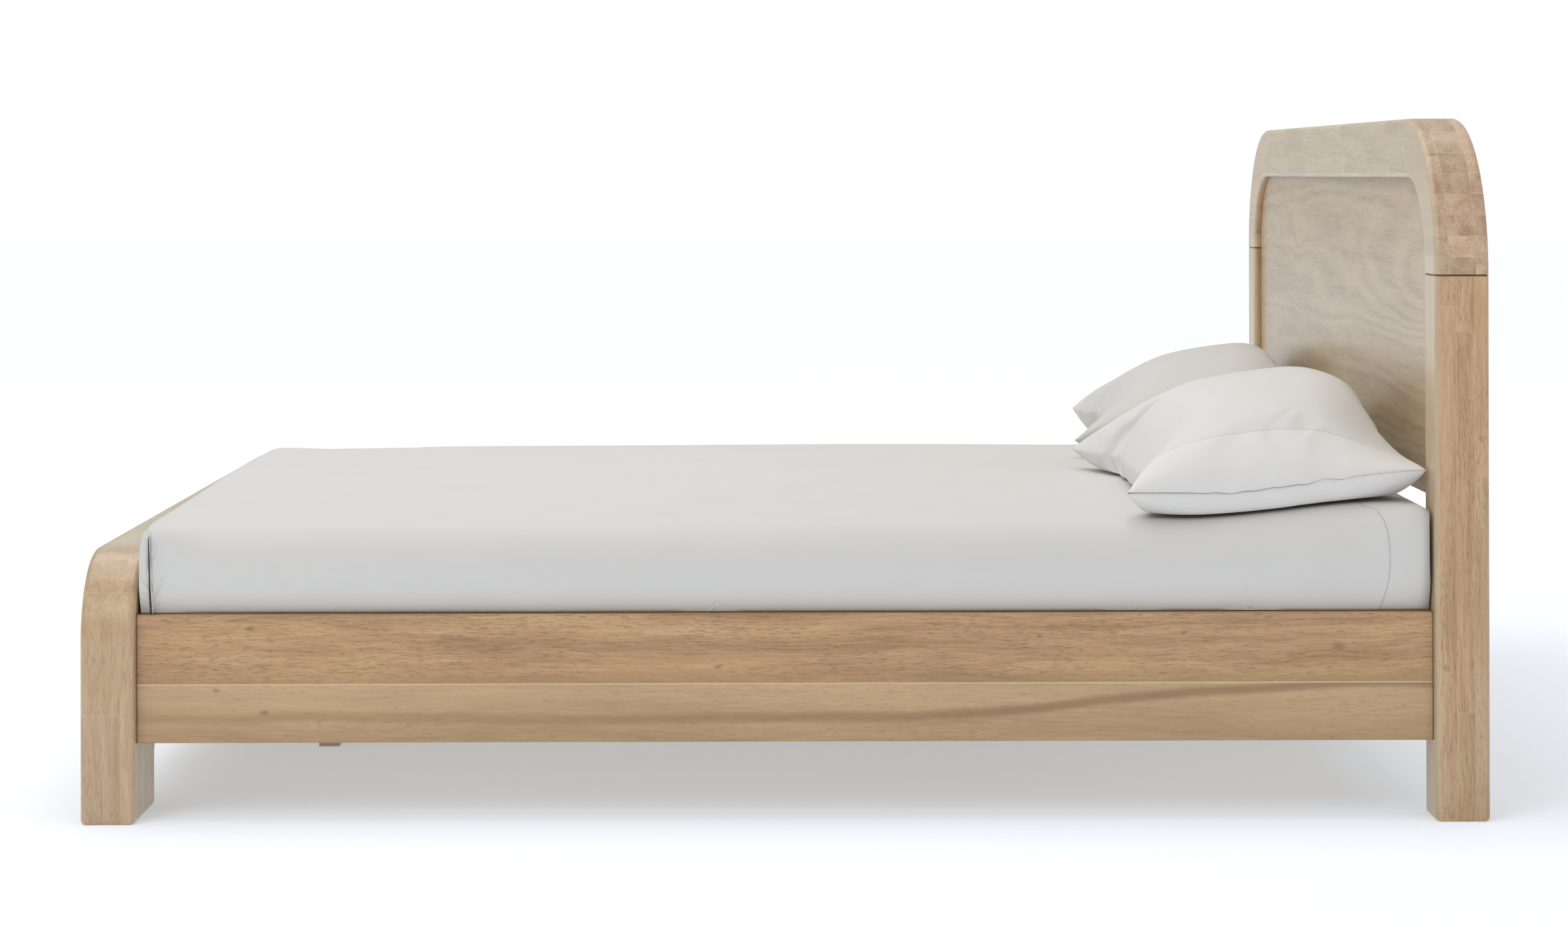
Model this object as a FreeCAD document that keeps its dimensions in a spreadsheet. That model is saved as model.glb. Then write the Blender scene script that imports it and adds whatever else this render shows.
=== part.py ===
"""King-size panel bed in solid wood, with its slat deck, mattress and two pillows.

A rounded headboard frame holds an inset panel, a low rounded footboard faces it, and two side rails
join them. Lengths are in millimetres. The origin is on the floor under the middle of the bed:
+X points to the head, +Y to the far side, +Z up.
"""
import FreeCAD, Part
import math
import os
import Sketcher

# Every driving dimension: alias, millimetres, what it is.
SIZES = [
    ("bed_length", 2225, "outer face of the footboard to outer face of the headboard"),
    ("bed_width", 2030, "over the posts"),
    ("board_depth", 86, "thickness of headboard and footboard along X"),
    ("outer_round", 10, "rounding of the frame's outer long edges"),
    ("inner_round", 8, "rounding of the edges round the headboard panel"),
    ("foot_round", 7.5, "rounding of the feet's bottom edges, less than the other two"),
    ("joint_bevel", 1.6, "bevel that makes the dark line between post and corner block"),
    ("head_height", 1113, "floor to the top of the headboard"),
    ("head_corner", 250, "outer radius of the headboard's corners"),
    ("head_post", 88, "width of a headboard post along Y"),
    ("head_rail", 98, "height of the headboard's top rail"),
    ("head_inner_corner", 150, "inner radius of the headboard's corners"),
    ("corner_reach", 1, "least straight stretch at each end of a corner block"),
    ("panel_thick", 19, "headboard panel thickness"),
    ("panel_recess", 14, "panel's face behind the frame's face"),
    ("panel_bottom", 505, "floor to the panel's lower edge"),
    ("panel_tongue", 10, "how far the panel goes into its groove"),
    ("groove_gap", 0.5, "clearance round the panel in its groove"),
    ("foot_height", 425, "floor to the top of the footboard"),
    ("foot_corner", 141, "outer radius of the footboard's corners"),
    ("foot_leg", 178, "width of a footboard leg along Y"),
    ("foot_arch", 105, "floor to the footboard's underside"),
    ("arch_round", 20, "fillet between a footboard leg and the underside"),
    ("foot_low_rail", 70, "height of the footboard's lower rail"),
    ("skin_thick", 20, "thickness of the footboard's two skins"),
    ("rail_bottom", 126, "floor to a side rail's lower edge"),
    ("rail_height", 203, "height of a side rail"),
    ("rail_thick", 25, "thickness of a side rail"),
    ("rail_inset", 21, "side rail's outer face behind the posts' outer faces"),
    ("rail_round", 3, "rounding of a side rail's long edges"),
    ("stretcher_height", 140, "height of the headboard's lower stretcher"),
    ("stretcher_thick", 28, "thickness of that stretcher"),
    ("stretcher_set", 18, "stretcher's face behind the frame's face"),
    ("stretcher_play", 0.5, "gap at each end of the stretcher"),
    ("deck_height", 208, "floor to the top of the slats"),
    ("slat_thick", 18, "slat thickness"),
    ("slat_width", 68, "slat width"),
    ("slat_play", 2, "gap between a slat's end and the side rail"),
    ("slat_margin", 108, "from the boards to the first and last slat"),
    ("ledger_width", 30, "slat ledger, along Y"),
    ("ledger_height", 30, "slat ledger, along Z"),
    ("ledger_reach", 7, "how far a ledger runs past the first and last slat"),
    ("bracket_thick", 3, "steel of the corner brackets and cradles"),
    ("bracket_arm", 92, "corner bracket's arm along the rail"),
    ("bracket_leg", 44, "corner bracket's leg across the post"),
    ("bracket_lift", 5, "corner bracket above the side rail's lower edge"),
    ("bracket_drop", 6, "corner bracket's upper edge below the top of the slats"),
    ("bolt_radius", 4, "corner bolt's shank"),
    ("bolt_length", 60, "corner bolt's shank length"),
    ("bolt_head", 7.5, "corner bolt's head radius"),
    ("bolt_cap", 5, "corner bolt's head height"),
    ("bolt_edge", 9, "corner bolt's middle from a bracket's upper or lower edge"),
    ("bolt_reach", 11, "corner bolt's middle from the side rail's inner face"),
    ("near_screw", 41, "first bracket screw from the board's face"),
    ("far_screw", 75, "second bracket screw from the board's face"),
    ("screw_radius", 2.2, "wood screw's shank"),
    ("screw_length", 20, "wood screw's shank length"),
    ("screw_head", 4.2, "wood screw's head radius"),
    ("screw_cap", 2.5, "wood screw's head height"),
    ("ledger_bite", 15, "how deep a ledger screw goes into the side rail"),
    ("ledger_drop", 18, "ledger screws below the slats"),
    ("slat_bite", 12, "how deep a slat screw goes into the ledger"),
    ("peg_radius", 6, "dowel radius"),
    ("peg_length", 70, "dowel length"),
    ("peg_bite", 25, "how deep a stretcher's dowel goes into the post, short of the bolts"),
    ("peg_spread", 17, "a pair of dowels: each from their middle line"),
    ("wide_peg_spread", 42, "the same in a footboard leg"),
    ("hole_gap", 0.15, "clearance round a dowel, bolt or screw"),
    ("beam_width", 40, "centre beam, along Y"),
    ("beam_height", 76, "centre beam, along Z"),
    ("beam_play", 1.5, "gap between the centre beam and its cradles"),
    ("cradle_arm", 40, "how far a cradle reaches along the beam"),
    ("cradle_wing", 22, "width of a cradle's screwed wing"),
    ("cradle_drop", 10, "cradle's upper edge below the slats"),
    ("cradle_edge", 15, "cradle's screws below its upper edge"),
    ("bearer_set", 214.5, "cross bearer's middle from the footboard's inner face"),
    ("bearer_length", 640, "cross bearer, along Y"),
    ("bearer_width", 60, "cross bearer, along X"),
    ("bearer_height", 32, "cross bearer, along Z"),
    ("leg_side", 37, "support leg's square side"),
    ("leg_round", 2, "rounding of a support leg's long edges"),
    ("leg_spread", 528, "between the middles of the cross bearer's legs"),
    ("head_leg_set", 466.5, "last support leg's middle from the headboard's face"),
    ("mattress_height", 262, "mattress thickness"),
    ("mattress_gap", 4, "between the mattress and what is round it"),
    ("mattress_rest", 0.4, "gap between the slats and the mattress"),
    ("mattress_bulge", 28, "how far the mattress stands over the side rails"),
    ("mattress_round", 42, "rounding of the mattress's upper edges"),
    ("pillow_width", 480, "pillow, along X"),
    ("pillow_side", 47, "from a pillow's outer end to the mattress's side"),
    ("pillow_height", 200, "pillow, along Z"),
    ("pillow_edge", 85, "rounding of the pillow's four corners, seen from above"),
    ("pillow_round", 72, "rounding of the pillow's edges"),
    ("pillow_apart", 180, "gap between the two pillows"),
    ("pillow_back", 8, "gap between the pillows and the headboard's face"),
    ("pillow_rise", 3, "gap between pillow and mattress"),
]
SLAT_COUNT = 13
SCREWS_PER_LEDGER = 7

doc = FreeCAD.newDocument("PanelBed")
sheet = doc.addObject("Spreadsheet::Sheet", "Sizes")
NODES = {}


class Size:
    """A length that knows its number and the spreadsheet formula behind it."""

    def __init__(self, value, text):
        self.value = value
        self.text = text

    def __add__(self, other):
        other = as_size(other)
        return Size(self.value + other.value, f"({self.text} + {other.text})")

    def __sub__(self, other):
        other = as_size(other)
        return Size(self.value - other.value, f"({self.text} - {other.text})")

    def __mul__(self, other):
        other = as_size(other)
        return Size(self.value * other.value, f"({self.text} * {other.text})")

    def __truediv__(self, other):
        other = as_size(other)
        return Size(self.value / other.value, f"({self.text} / {other.text})")

    def __neg__(self):
        return Size(-self.value, f"(0 - {self.text})")


def as_size(number):
    return number if isinstance(number, Size) else Size(float(number), f"({number})")


def largest(one, other):
    return Size(max(one.value, other.value), f"max({one.text}; {other.text})")


class Cells:
    """The spreadsheet's cells as attributes: S.bed_length is that cell's size."""


S = Cells()
for row, (alias, number, words) in enumerate(SIZES, start=1):
    sheet.set(f"A{row}", words)
    sheet.set(f"B{row}", str(number))
    sheet.setAlias(f"B{row}", alias)
    setattr(S, alias, Size(float(number), f"Sizes.{alias}"))
doc.recompute()


def bind(thing, **formulas):
    """Ties properties to formulas; a double underscore in a name stands for a dot."""
    for name, size in formulas.items():
        thing.setExpression(name.replace("__", "."), as_size(size).text)


def place(thing, x, y, z):
    """Puts a thing's own zero at a point of the bed, by formula."""
    corner = [as_size(size) for size in (x, y, z)]
    thing.Placement.Base = FreeCAD.Vector(*(size.value for size in corner))
    bind(thing, Placement__Base__x=x, Placement__Base__y=y, Placement__Base__z=z)


def node(name, thing):
    """Names a finished piece; its label is its file's name."""
    thing.Label = name
    NODES[name] = thing
    return thing


# --- sketches and features ---------------------------------------------------------------------


def new_body(name):
    return doc.addObject("PartDesign::Body", name + "_body")


def origin_plane(body, role):
    return next(plane for plane in body.Origin.OriginFeatures if plane.Role == role)


def new_sketch(body, role, offset=0):
    """A sketch on one of the body's own planes, moved along that plane's normal."""
    sketch = body.newObject("Sketcher::SketchObject", "Outline")
    sketch.AttachmentSupport = (origin_plane(body, role), [""])
    sketch.MapMode = "FlatFace"
    offset = as_size(offset)
    sketch.AttachmentOffset = FreeCAD.Placement(FreeCAD.Vector(0, 0, offset.value), FreeCAD.Rotation())
    bind(sketch, AttachmentOffset__Base__z=offset)
    return sketch


def pin_point(sketch, index, end, point):
    """Fixes one end of a sketch element at a point given by two formulas."""
    for kind, size in zip(("DistanceX", "DistanceY"), point):
        size = as_size(size)
        number = sketch.addConstraint(Sketcher.Constraint(kind, -1, 1, index, end, size.value))
        sketch.setExpression(f"Constraints[{number}]", size.text)


def draw_outline(sketch, corners):
    """Draws a closed outline. A corner is (x, y), or (x, y, radius, centre) where the stretch that
    leads on to the next corner is an arc about that centre, as (x, y)."""
    count = len(corners)
    for index, corner in enumerate(corners):
        start = [as_size(size) for size in corner[:2]]
        end = [as_size(size) for size in corners[(index + 1) % count][:2]]
        start_at = FreeCAD.Vector(start[0].value, start[1].value, 0)
        end_at = FreeCAD.Vector(end[0].value, end[1].value, 0)
        if len(corner) == 2:
            sketch.addGeometry(Part.LineSegment(start_at, end_at), False)
        else:
            radius, centre = as_size(corner[2]), [as_size(size) for size in corner[3]]
            middle = FreeCAD.Vector(centre[0].value, centre[1].value, 0)
            chord = (start_at + end_at) * 0.5 - middle
            bow = middle + chord.normalize() * radius.value
            arc = Part.Arc(start_at, bow, end_at)
            sketch.addGeometry(arc, False)
    for index, corner in enumerate(corners):
        after = (index + 1) % count
        this_end = sketch_end(sketch, index, corners[after])
        next_start = sketch_end(sketch, after, corners[after])
        sketch.addConstraint(Sketcher.Constraint("Coincident", index, this_end, after, next_start))
        pin_point(sketch, index, sketch_end(sketch, index, corner), corner[:2])
        if len(corner) > 2:
            radius = as_size(corner[2])
            number = sketch.addConstraint(Sketcher.Constraint("Radius", index, radius.value))
            sketch.setExpression(f"Constraints[{number}]", radius.text)


def sketch_end(sketch, index, corner):
    """1 or 2: which end of a sketch element lies at a corner, since arcs may run backwards."""
    at = FreeCAD.Vector(as_size(corner[0]).value, as_size(corner[1]).value, 0)
    near = [sketch.getPoint(index, end).distanceToPoint(at) for end in (1, 2)]
    return 1 if near[0] < near[1] else 2


def rectangle(x_low, x_high, y_low, y_high):
    return [(x_low, y_low), (x_high, y_low), (x_high, y_high), (x_low, y_high)]


def pad(body, sketch, length):
    feature = body.newObject("PartDesign::Pad", "Pad")
    feature.Profile = sketch
    feature.Length = as_size(length).value
    bind(feature, Length=length)
    sketch.Visibility = False
    doc.recompute()
    return feature


def pocket(body, sketch, length):
    """Cuts a sketch into the body, along the sketch's own normal."""
    before = body.Shape.Volume
    feature = body.newObject("PartDesign::Pocket", "Pocket")
    feature.Profile = sketch
    feature.Length = as_size(length).value
    feature.Reversed = True
    bind(feature, Length=length)
    doc.recompute()
    if body.Shape.Volume > before - 1:
        raise ValueError(f"a pocket in {body.Label} cuts nothing")
    return feature


def chosen_edges(shape, keep):
    return [f"Edge{number}" for number, edge in enumerate(shape.Edges, start=1) if keep(edge)]


def dress(body, kind, size, keep):
    """Rounds ("Fillet") or bevels ("Chamfer") the edges that keep() picks on the body's last feature."""
    base = body.Tip
    names = chosen_edges(base.Shape, keep)
    if not names:
        raise ValueError(f"no edge to dress on {body.Label}")
    feature = body.newObject("PartDesign::" + kind, kind)
    feature.Base = (base, names)
    if kind == "Fillet":
        feature.Radius = as_size(size).value
        bind(feature, Radius=size)
    else:
        feature.Size = as_size(size).value
        bind(feature, Size=size)
    doc.recompute()
    return feature


def is_at(number, size):
    return abs(number - as_size(size).value) < 0.01


def spans(edge, axis):
    """Does an edge run any way along an axis?"""
    box = edge.BoundBox
    return (box.XLength, box.YLength, box.ZLength)["xyz".index(axis)] > 0.01


def across(edge, axis):
    return not spans(edge, axis)


def middle_of(edge):
    return edge.valueAt((edge.FirstParameter + edge.LastParameter) / 2)


def runs_along(edge, along):
    """Is an edge straight along one axis?"""
    return spans(edge, along) and all(across(edge, axis) for axis in "xyz" if axis != along)


# --- boards, pegs and holes ----------------------------------------------------------------------


def board(name, low, size, round_over=None, along="x"):
    """A plank from its low corner, with its four long edges rounded if a radius is given."""
    body = new_body(name)
    sketch = new_sketch(body, "XY_Plane")
    draw_outline(sketch, rectangle(0, size[0], 0, size[1]))
    pad(body, sketch, size[2])
    if round_over is not None:
        dress(body, "Fillet", round_over, lambda edge: runs_along(edge, along))
    place(body, *low)
    return body


TURNS = {
    "+z": FreeCAD.Rotation(),
    "-z": FreeCAD.Rotation(FreeCAD.Vector(1, 0, 0), 180),
    "+x": FreeCAD.Rotation(FreeCAD.Vector(0, 1, 0), 90),
    "-x": FreeCAD.Rotation(FreeCAD.Vector(0, 1, 0), -90),
    "+y": FreeCAD.Rotation(FreeCAD.Vector(1, 0, 0), -90),
    "-y": FreeCAD.Rotation(FreeCAD.Vector(1, 0, 0), 90),
}


def rod(start, heading, length, radius):
    """A cylinder from a point, along a heading such as "+x"."""
    cylinder = doc.addObject("Part::Cylinder", "Rod")
    cylinder.Placement.Rotation = TURNS[heading]
    bind(cylinder, Radius=radius, Height=length)
    place(cylinder, *start)
    return cylinder


def stepped(start, heading, amount):
    """The point that lies an amount further along a heading."""
    move = as_size(amount) * (1 if heading[0] == "+" else -1)
    return [as_size(size) + move if axis == heading[1] else as_size(size)
            for axis, size in zip("xyz", start)]


def joined(kind, parts):
    thing = doc.addObject("Part::" + kind, "Group")
    if kind == "Compound":
        thing.Links = parts
    else:
        thing.Shapes = parts
    return thing


class Peg:
    """A dowel, bolt or screw: where it starts and points, its sizes, and which pieces it is for."""

    def __init__(self, start, heading, length, radius, head=None, cap=None, at=None):
        self.start, self.heading = start, heading
        self.length, self.radius = length, radius
        self.head, self.cap = head, cap
        self.at = at

    def solid(self):
        """The fastener itself. A head sits on the surface that the start point lies on."""
        shank = rod(self.start, self.heading, self.length, self.radius)
        if self.head is None:
            return shank
        back = stepped(self.start, self.heading, -as_size(self.cap))
        cap = rod(back, self.heading, self.cap, self.head)
        return joined("MultiFuse", [cap, shank])

    def hole(self):
        """What it needs cleared: the shank, a little deeper and wider than itself."""
        length = self.length + S.hole_gap * 2
        start = self.start
        if self.head is None:
            start = stepped(start, self.heading, -S.hole_gap)
        return rod(start, self.heading, length, self.radius + S.hole_gap)

    def sunk_hole(self):
        """The same with room for the head, for a screw that is let in."""
        back = stepped(self.start, self.heading, -as_size(self.cap))
        wide = rod(back, self.heading, self.cap + S.hole_gap, self.head + S.hole_gap)
        return joined("MultiFuse", [wide, self.hole()])


def cut_holes(piece, holes):
    """The piece less its holes, which stay features of the document."""
    if not holes:
        return piece
    cut = doc.addObject("Part::Cut", "Bored")
    cut.Base = piece
    cut.Tool = holes[0] if len(holes) == 1 else joined("Compound", holes)
    return cut


def wood_screw(start, heading, length, at):
    return Peg(start, heading, length, S.screw_radius, S.screw_head, S.screw_cap, at)


def plate_holes(pegs):
    """The holes of bolts or screws in a steel plate that they start on."""
    holes = []
    for peg in pegs:
        back = stepped(peg.start, peg.heading, -S.hole_gap)
        holes.append(rod(back, peg.heading, S.bracket_thick + S.hole_gap * 2, peg.radius + S.hole_gap))
    return holes


def peg_group(name, pegs):
    """Alike fasteners as one node of separate solids."""
    return node(name, joined("Compound", [peg.solid() for peg in pegs]))


SIDES = {"left": 1, "right": -1}

half_length = S.bed_length / 2
half_width = S.bed_width / 2
head_face = half_length - S.board_depth
foot_face = -head_face
rail_outer = half_width - S.rail_inset
rail_inner = rail_outer - S.rail_thick
rail_top = S.rail_bottom + S.rail_height
slat_bottom = S.deck_height - S.slat_thick

# --- headboard -------------------------------------------------------------------------------------

joint_height = S.head_height - largest(S.head_corner, S.head_rail + S.head_inner_corner) - S.corner_reach
inner_edge = half_width - S.head_post
inner_top = S.head_height - S.head_rail
rail_end = half_width - largest(S.head_corner, S.head_post + S.head_inner_corner) - S.corner_reach
panel_face = head_face + S.panel_recess


def dowel_pair(middle, heading, spread_axis, spread, back=S.peg_length / 2):
    """Two dowels side by side across a joint, each starting a way back from the joint's face."""
    pegs = []
    for sign in (-1, 1):
        centre = [as_size(size) for size in middle]
        index = "xyz".index(spread_axis)
        centre[index] = centre[index] + spread * sign
        pegs.append(Peg(stepped(centre, heading, -back), heading, S.peg_length, S.peg_radius))
    return pegs


# The dowels lie midway between the panel's back and the frame's back.
peg_depth = (panel_face + S.panel_thick + half_length) / 2
stretcher_middle = head_face + S.stretcher_set + S.stretcher_thick / 2
stretcher_level = S.rail_bottom + S.stretcher_height / 2
# The stretcher's lower dowels pass midway between the two bolts of a corner bracket.
bracket_low = S.rail_bottom + S.bracket_lift
bracket_high = S.deck_height - S.bracket_drop
bracket_middle = (bracket_low + bracket_high) / 2
post_pegs, corner_pegs, stretcher_pegs = {}, {}, {}
for side, sign in SIDES.items():
    post_middle = (half_width - S.head_post / 2) * sign
    rail_middle = S.head_height - S.head_rail / 2
    post_pegs[side] = dowel_pair((peg_depth, post_middle, joint_height), "+z", "y", S.peg_spread)
    corner_pegs[side] = dowel_pair((peg_depth, rail_end * sign, rail_middle), "+y", "z", S.peg_spread)
    stretcher_pegs[side] = dowel_pair((stretcher_middle, inner_edge * sign, stretcher_level),
                                      "+y" if sign > 0 else "-y", "z", stretcher_level - bracket_middle,
                                      S.peg_length - S.peg_bite)


def panel_outline(sign, grow, low, end):
    """Half of the panel's outline from its middle line: straight sides, round upper corner.
    grow is how far past the visible opening it goes, low its lower edge, end where it stops."""
    radius = S.head_inner_corner + grow
    side = (inner_edge + grow) * sign
    top = inner_top + grow
    centre = ((inner_edge - S.head_inner_corner) * sign, inner_top - S.head_inner_corner)
    return [(end, low), (side, low), (side, centre[1], radius, centre), (centre[0], top), (end, top)]


def cut_groove(body, sign):
    """The slot for the panel's tongue in a post, corner block or top rail."""
    sketch = new_sketch(body, "YZ_Plane", panel_face - S.groove_gap)
    grow = S.panel_tongue + S.groove_gap
    draw_outline(sketch, panel_outline(sign, grow, S.panel_bottom - S.groove_gap, as_size(0)))
    pocket(body, sketch, S.panel_thick + S.groove_gap * 2)


def head_post(side, sign):
    body = new_body("head_post_" + side)
    sketch = new_sketch(body, "YZ_Plane", head_face)
    draw_outline(sketch, rectangle(inner_edge * sign, half_width * sign, 0, joint_height))
    pad(body, sketch, S.board_depth)
    dress(body, "Fillet", S.outer_round,
          lambda edge: runs_along(edge, "z") and is_at(middle_of(edge).y, half_width * sign))
    dress(body, "Fillet", S.inner_round,
          lambda edge: runs_along(edge, "z") and is_at(middle_of(edge).y, inner_edge * sign))
    dress(body, "Fillet", S.foot_round, lambda edge: is_at(middle_of(edge).z, 0) and across(edge, "z"))
    dress(body, "Chamfer", S.joint_bevel,
          lambda edge: is_at(middle_of(edge).z, joint_height) and across(edge, "z"))
    cut_groove(body, sign)
    pegs = post_pegs[side] + stretcher_pegs[side]
    pegs += [peg for peg in bracket_bolts if peg.at == ("head", side)]
    return cut_holes(body, [peg.hole() for peg in pegs])


def head_corner(side, sign):
    body = new_body("head_corner_" + side)
    sketch = new_sketch(body, "YZ_Plane", head_face)
    inner_centre = ((inner_edge - S.head_inner_corner) * sign, inner_top - S.head_inner_corner)
    outer_centre = ((half_width - S.head_corner) * sign, S.head_height - S.head_corner)
    draw_outline(sketch, [
        (inner_edge * sign, joint_height),
        (half_width * sign, joint_height),
        (half_width * sign, outer_centre[1], S.head_corner, outer_centre),
        (outer_centre[0], S.head_height),
        (rail_end * sign, S.head_height),
        (rail_end * sign, inner_top),
        (inner_centre[0], inner_top, S.head_inner_corner, inner_centre),
        (inner_edge * sign, inner_centre[1]),
    ])
    pad(body, sketch, S.board_depth)

    def is_outer(edge):
        point = middle_of(edge)
        on_arc = math.hypot(point.y - outer_centre[0].value, point.z - outer_centre[1].value)
        return is_at(on_arc, S.head_corner) or is_at(point.z, S.head_height) \
            or is_at(point.y, half_width * sign)

    def is_inner(edge):
        point = middle_of(edge)
        on_arc = math.hypot(point.y - inner_centre[0].value, point.z - inner_centre[1].value)
        return is_at(on_arc, S.head_inner_corner) or is_at(point.z, inner_top) \
            or is_at(point.y, inner_edge * sign)

    def is_long(edge):
        point = middle_of(edge)
        at_joint = is_at(point.z, joint_height) or is_at(point.y, rail_end * sign)
        return across(edge, "x") and not at_joint

    dress(body, "Fillet", S.outer_round, lambda edge: is_long(edge) and is_outer(edge))
    dress(body, "Fillet", S.inner_round, lambda edge: is_long(edge) and is_inner(edge))
    dress(body, "Chamfer", S.joint_bevel,
          lambda edge: is_at(middle_of(edge).z, joint_height) and across(edge, "z"))
    cut_groove(body, sign)
    return cut_holes(body, [peg.hole() for peg in post_pegs[side] + corner_pegs[side]])


def head_top_rail():
    body = new_body("head_top_rail")
    sketch = new_sketch(body, "YZ_Plane", head_face)
    draw_outline(sketch, rectangle(-rail_end, rail_end, inner_top, S.head_height))
    pad(body, sketch, S.board_depth)
    dress(body, "Fillet", S.outer_round,
          lambda edge: runs_along(edge, "y") and is_at(middle_of(edge).z, S.head_height))
    dress(body, "Fillet", S.inner_round,
          lambda edge: runs_along(edge, "y") and is_at(middle_of(edge).z, inner_top))
    sketch = new_sketch(body, "YZ_Plane", panel_face - S.groove_gap)
    top = inner_top + S.panel_tongue + S.groove_gap
    draw_outline(sketch, rectangle(-rail_end - 1, rail_end + 1, inner_top - 1, top))
    pocket(body, sketch, S.panel_thick + S.groove_gap * 2)
    return cut_holes(body, [peg.hole() for side in SIDES for peg in corner_pegs[side]])


def head_panel():
    body = new_body("head_panel")
    sketch = new_sketch(body, "YZ_Plane", panel_face)
    far = panel_outline(1, S.panel_tongue, S.panel_bottom, as_size(0))[1:4]
    near = panel_outline(-1, S.panel_tongue, S.panel_bottom, as_size(0))[1:4]
    radius, centre = near[1][2], near[1][3]
    draw_outline(sketch, [far[0], far[1], far[2],
                          (near[2][0], near[2][1], radius, centre), near[1][:2], near[0]])
    pad(body, sketch, S.panel_thick)
    return body


def head_stretcher():
    size = (S.stretcher_thick, (inner_edge - S.stretcher_play) * 2, S.stretcher_height)
    low = (head_face + S.stretcher_set, -inner_edge + S.stretcher_play, S.rail_bottom)
    body = board("head_stretcher", low, size, S.rail_round, "y")
    pegs = stretcher_pegs["left"] + stretcher_pegs["right"] + cradle_screws["head"]
    return cut_holes(body, [peg.hole() for peg in pegs])


# --- footboard ---------------------------------------------------------------------------------------

foot_outer = -half_length
leg_inner = half_width - S.foot_leg
foot_joint = S.foot_height - S.foot_corner
foot_middle = foot_outer + S.board_depth / 2
leg_pegs, foot_rail_pegs, low_rail_pegs = {}, {}, {}
for side, sign in SIDES.items():
    leg_middle = (half_width - S.foot_leg / 2) * sign
    rail_middle = S.foot_height - S.foot_corner / 2
    low_rail_middle = S.foot_arch + S.foot_low_rail / 2
    leg_pegs[side] = dowel_pair((foot_middle, leg_middle, foot_joint), "+z", "y", S.wide_peg_spread)
    foot_rail_pegs[side] = dowel_pair((foot_middle, leg_inner * sign, rail_middle), "+y", "z",
                                      S.wide_peg_spread)
    low_rail_pegs[side] = dowel_pair((foot_middle, leg_inner * sign, low_rail_middle), "+y", "x",
                                     S.peg_spread)


def foot_leg(side, sign):
    body = new_body("foot_leg_" + side)
    sketch = new_sketch(body, "YZ_Plane", foot_outer)
    draw_outline(sketch, rectangle(leg_inner * sign, half_width * sign, 0, foot_joint))
    pad(body, sketch, S.board_depth)
    dress(body, "Fillet", S.outer_round,
          lambda edge: runs_along(edge, "z") and is_at(middle_of(edge).y, half_width * sign))
    dress(body, "Fillet", S.foot_round, lambda edge: is_at(middle_of(edge).z, 0) and across(edge, "z"))
    pegs = leg_pegs[side] + low_rail_pegs[side]
    pegs += [peg for peg in bracket_bolts if peg.at == ("foot", side)]
    return cut_holes(body, [peg.hole() for peg in pegs])


def foot_corner(side, sign):
    body = new_body("foot_corner_" + side)
    sketch = new_sketch(body, "YZ_Plane", foot_outer)
    centre = ((half_width - S.foot_corner) * sign, foot_joint)
    draw_outline(sketch, [
        (leg_inner * sign, foot_joint),
        (half_width * sign, foot_joint, S.foot_corner, centre),
        (centre[0], S.foot_height),
        (leg_inner * sign, S.foot_height),
    ])
    pad(body, sketch, S.board_depth)
    dress(body, "Fillet", S.outer_round,
          lambda edge: across(edge, "x") and not is_at(middle_of(edge).z, foot_joint)
          and not is_at(middle_of(edge).y, leg_inner * sign))
    return cut_holes(body, [peg.hole() for peg in leg_pegs[side] + foot_rail_pegs[side]])


def foot_top_rail():
    size = (S.board_depth, leg_inner * 2, S.foot_corner)
    body = new_body("foot_top_rail")
    sketch = new_sketch(body, "XY_Plane")
    draw_outline(sketch, rectangle(0, size[0], 0, size[1]))
    pad(body, sketch, size[2])
    dress(body, "Fillet", S.outer_round,
          lambda edge: runs_along(edge, "y") and is_at(middle_of(edge).z, S.foot_corner))
    place(body, foot_outer, -leg_inner, foot_joint)
    return cut_holes(body, [peg.hole() for side in SIDES for peg in foot_rail_pegs[side]])


def foot_low_rail():
    """The lower rail, with a fillet down to each leg shaped on its own ends."""
    body = new_body("foot_low_rail")
    sketch = new_sketch(body, "YZ_Plane", foot_outer)
    top = S.foot_arch + S.foot_low_rail
    drop = S.foot_arch - S.arch_round
    right_centre = (-leg_inner + S.arch_round, drop)
    left_centre = (leg_inner - S.arch_round, drop)
    draw_outline(sketch, [
        (-leg_inner, drop, S.arch_round, right_centre),
        (right_centre[0], S.foot_arch),
        (left_centre[0], S.foot_arch, S.arch_round, left_centre),
        (leg_inner, drop),
        (leg_inner, top),
        (-leg_inner, top),
    ])
    pad(body, sketch, S.board_depth)
    pegs = low_rail_pegs["left"] + low_rail_pegs["right"] + cradle_screws["foot"]
    return cut_holes(body, [peg.hole() for peg in pegs])


def foot_skin(name, low_x):
    low = S.foot_arch + S.foot_low_rail
    return board(name, (low_x, -leg_inner, low), (S.skin_thick, leg_inner * 2, foot_joint - low))


# --- side rails, ledgers and corner hardware ---------------------------------------------------------

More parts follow.
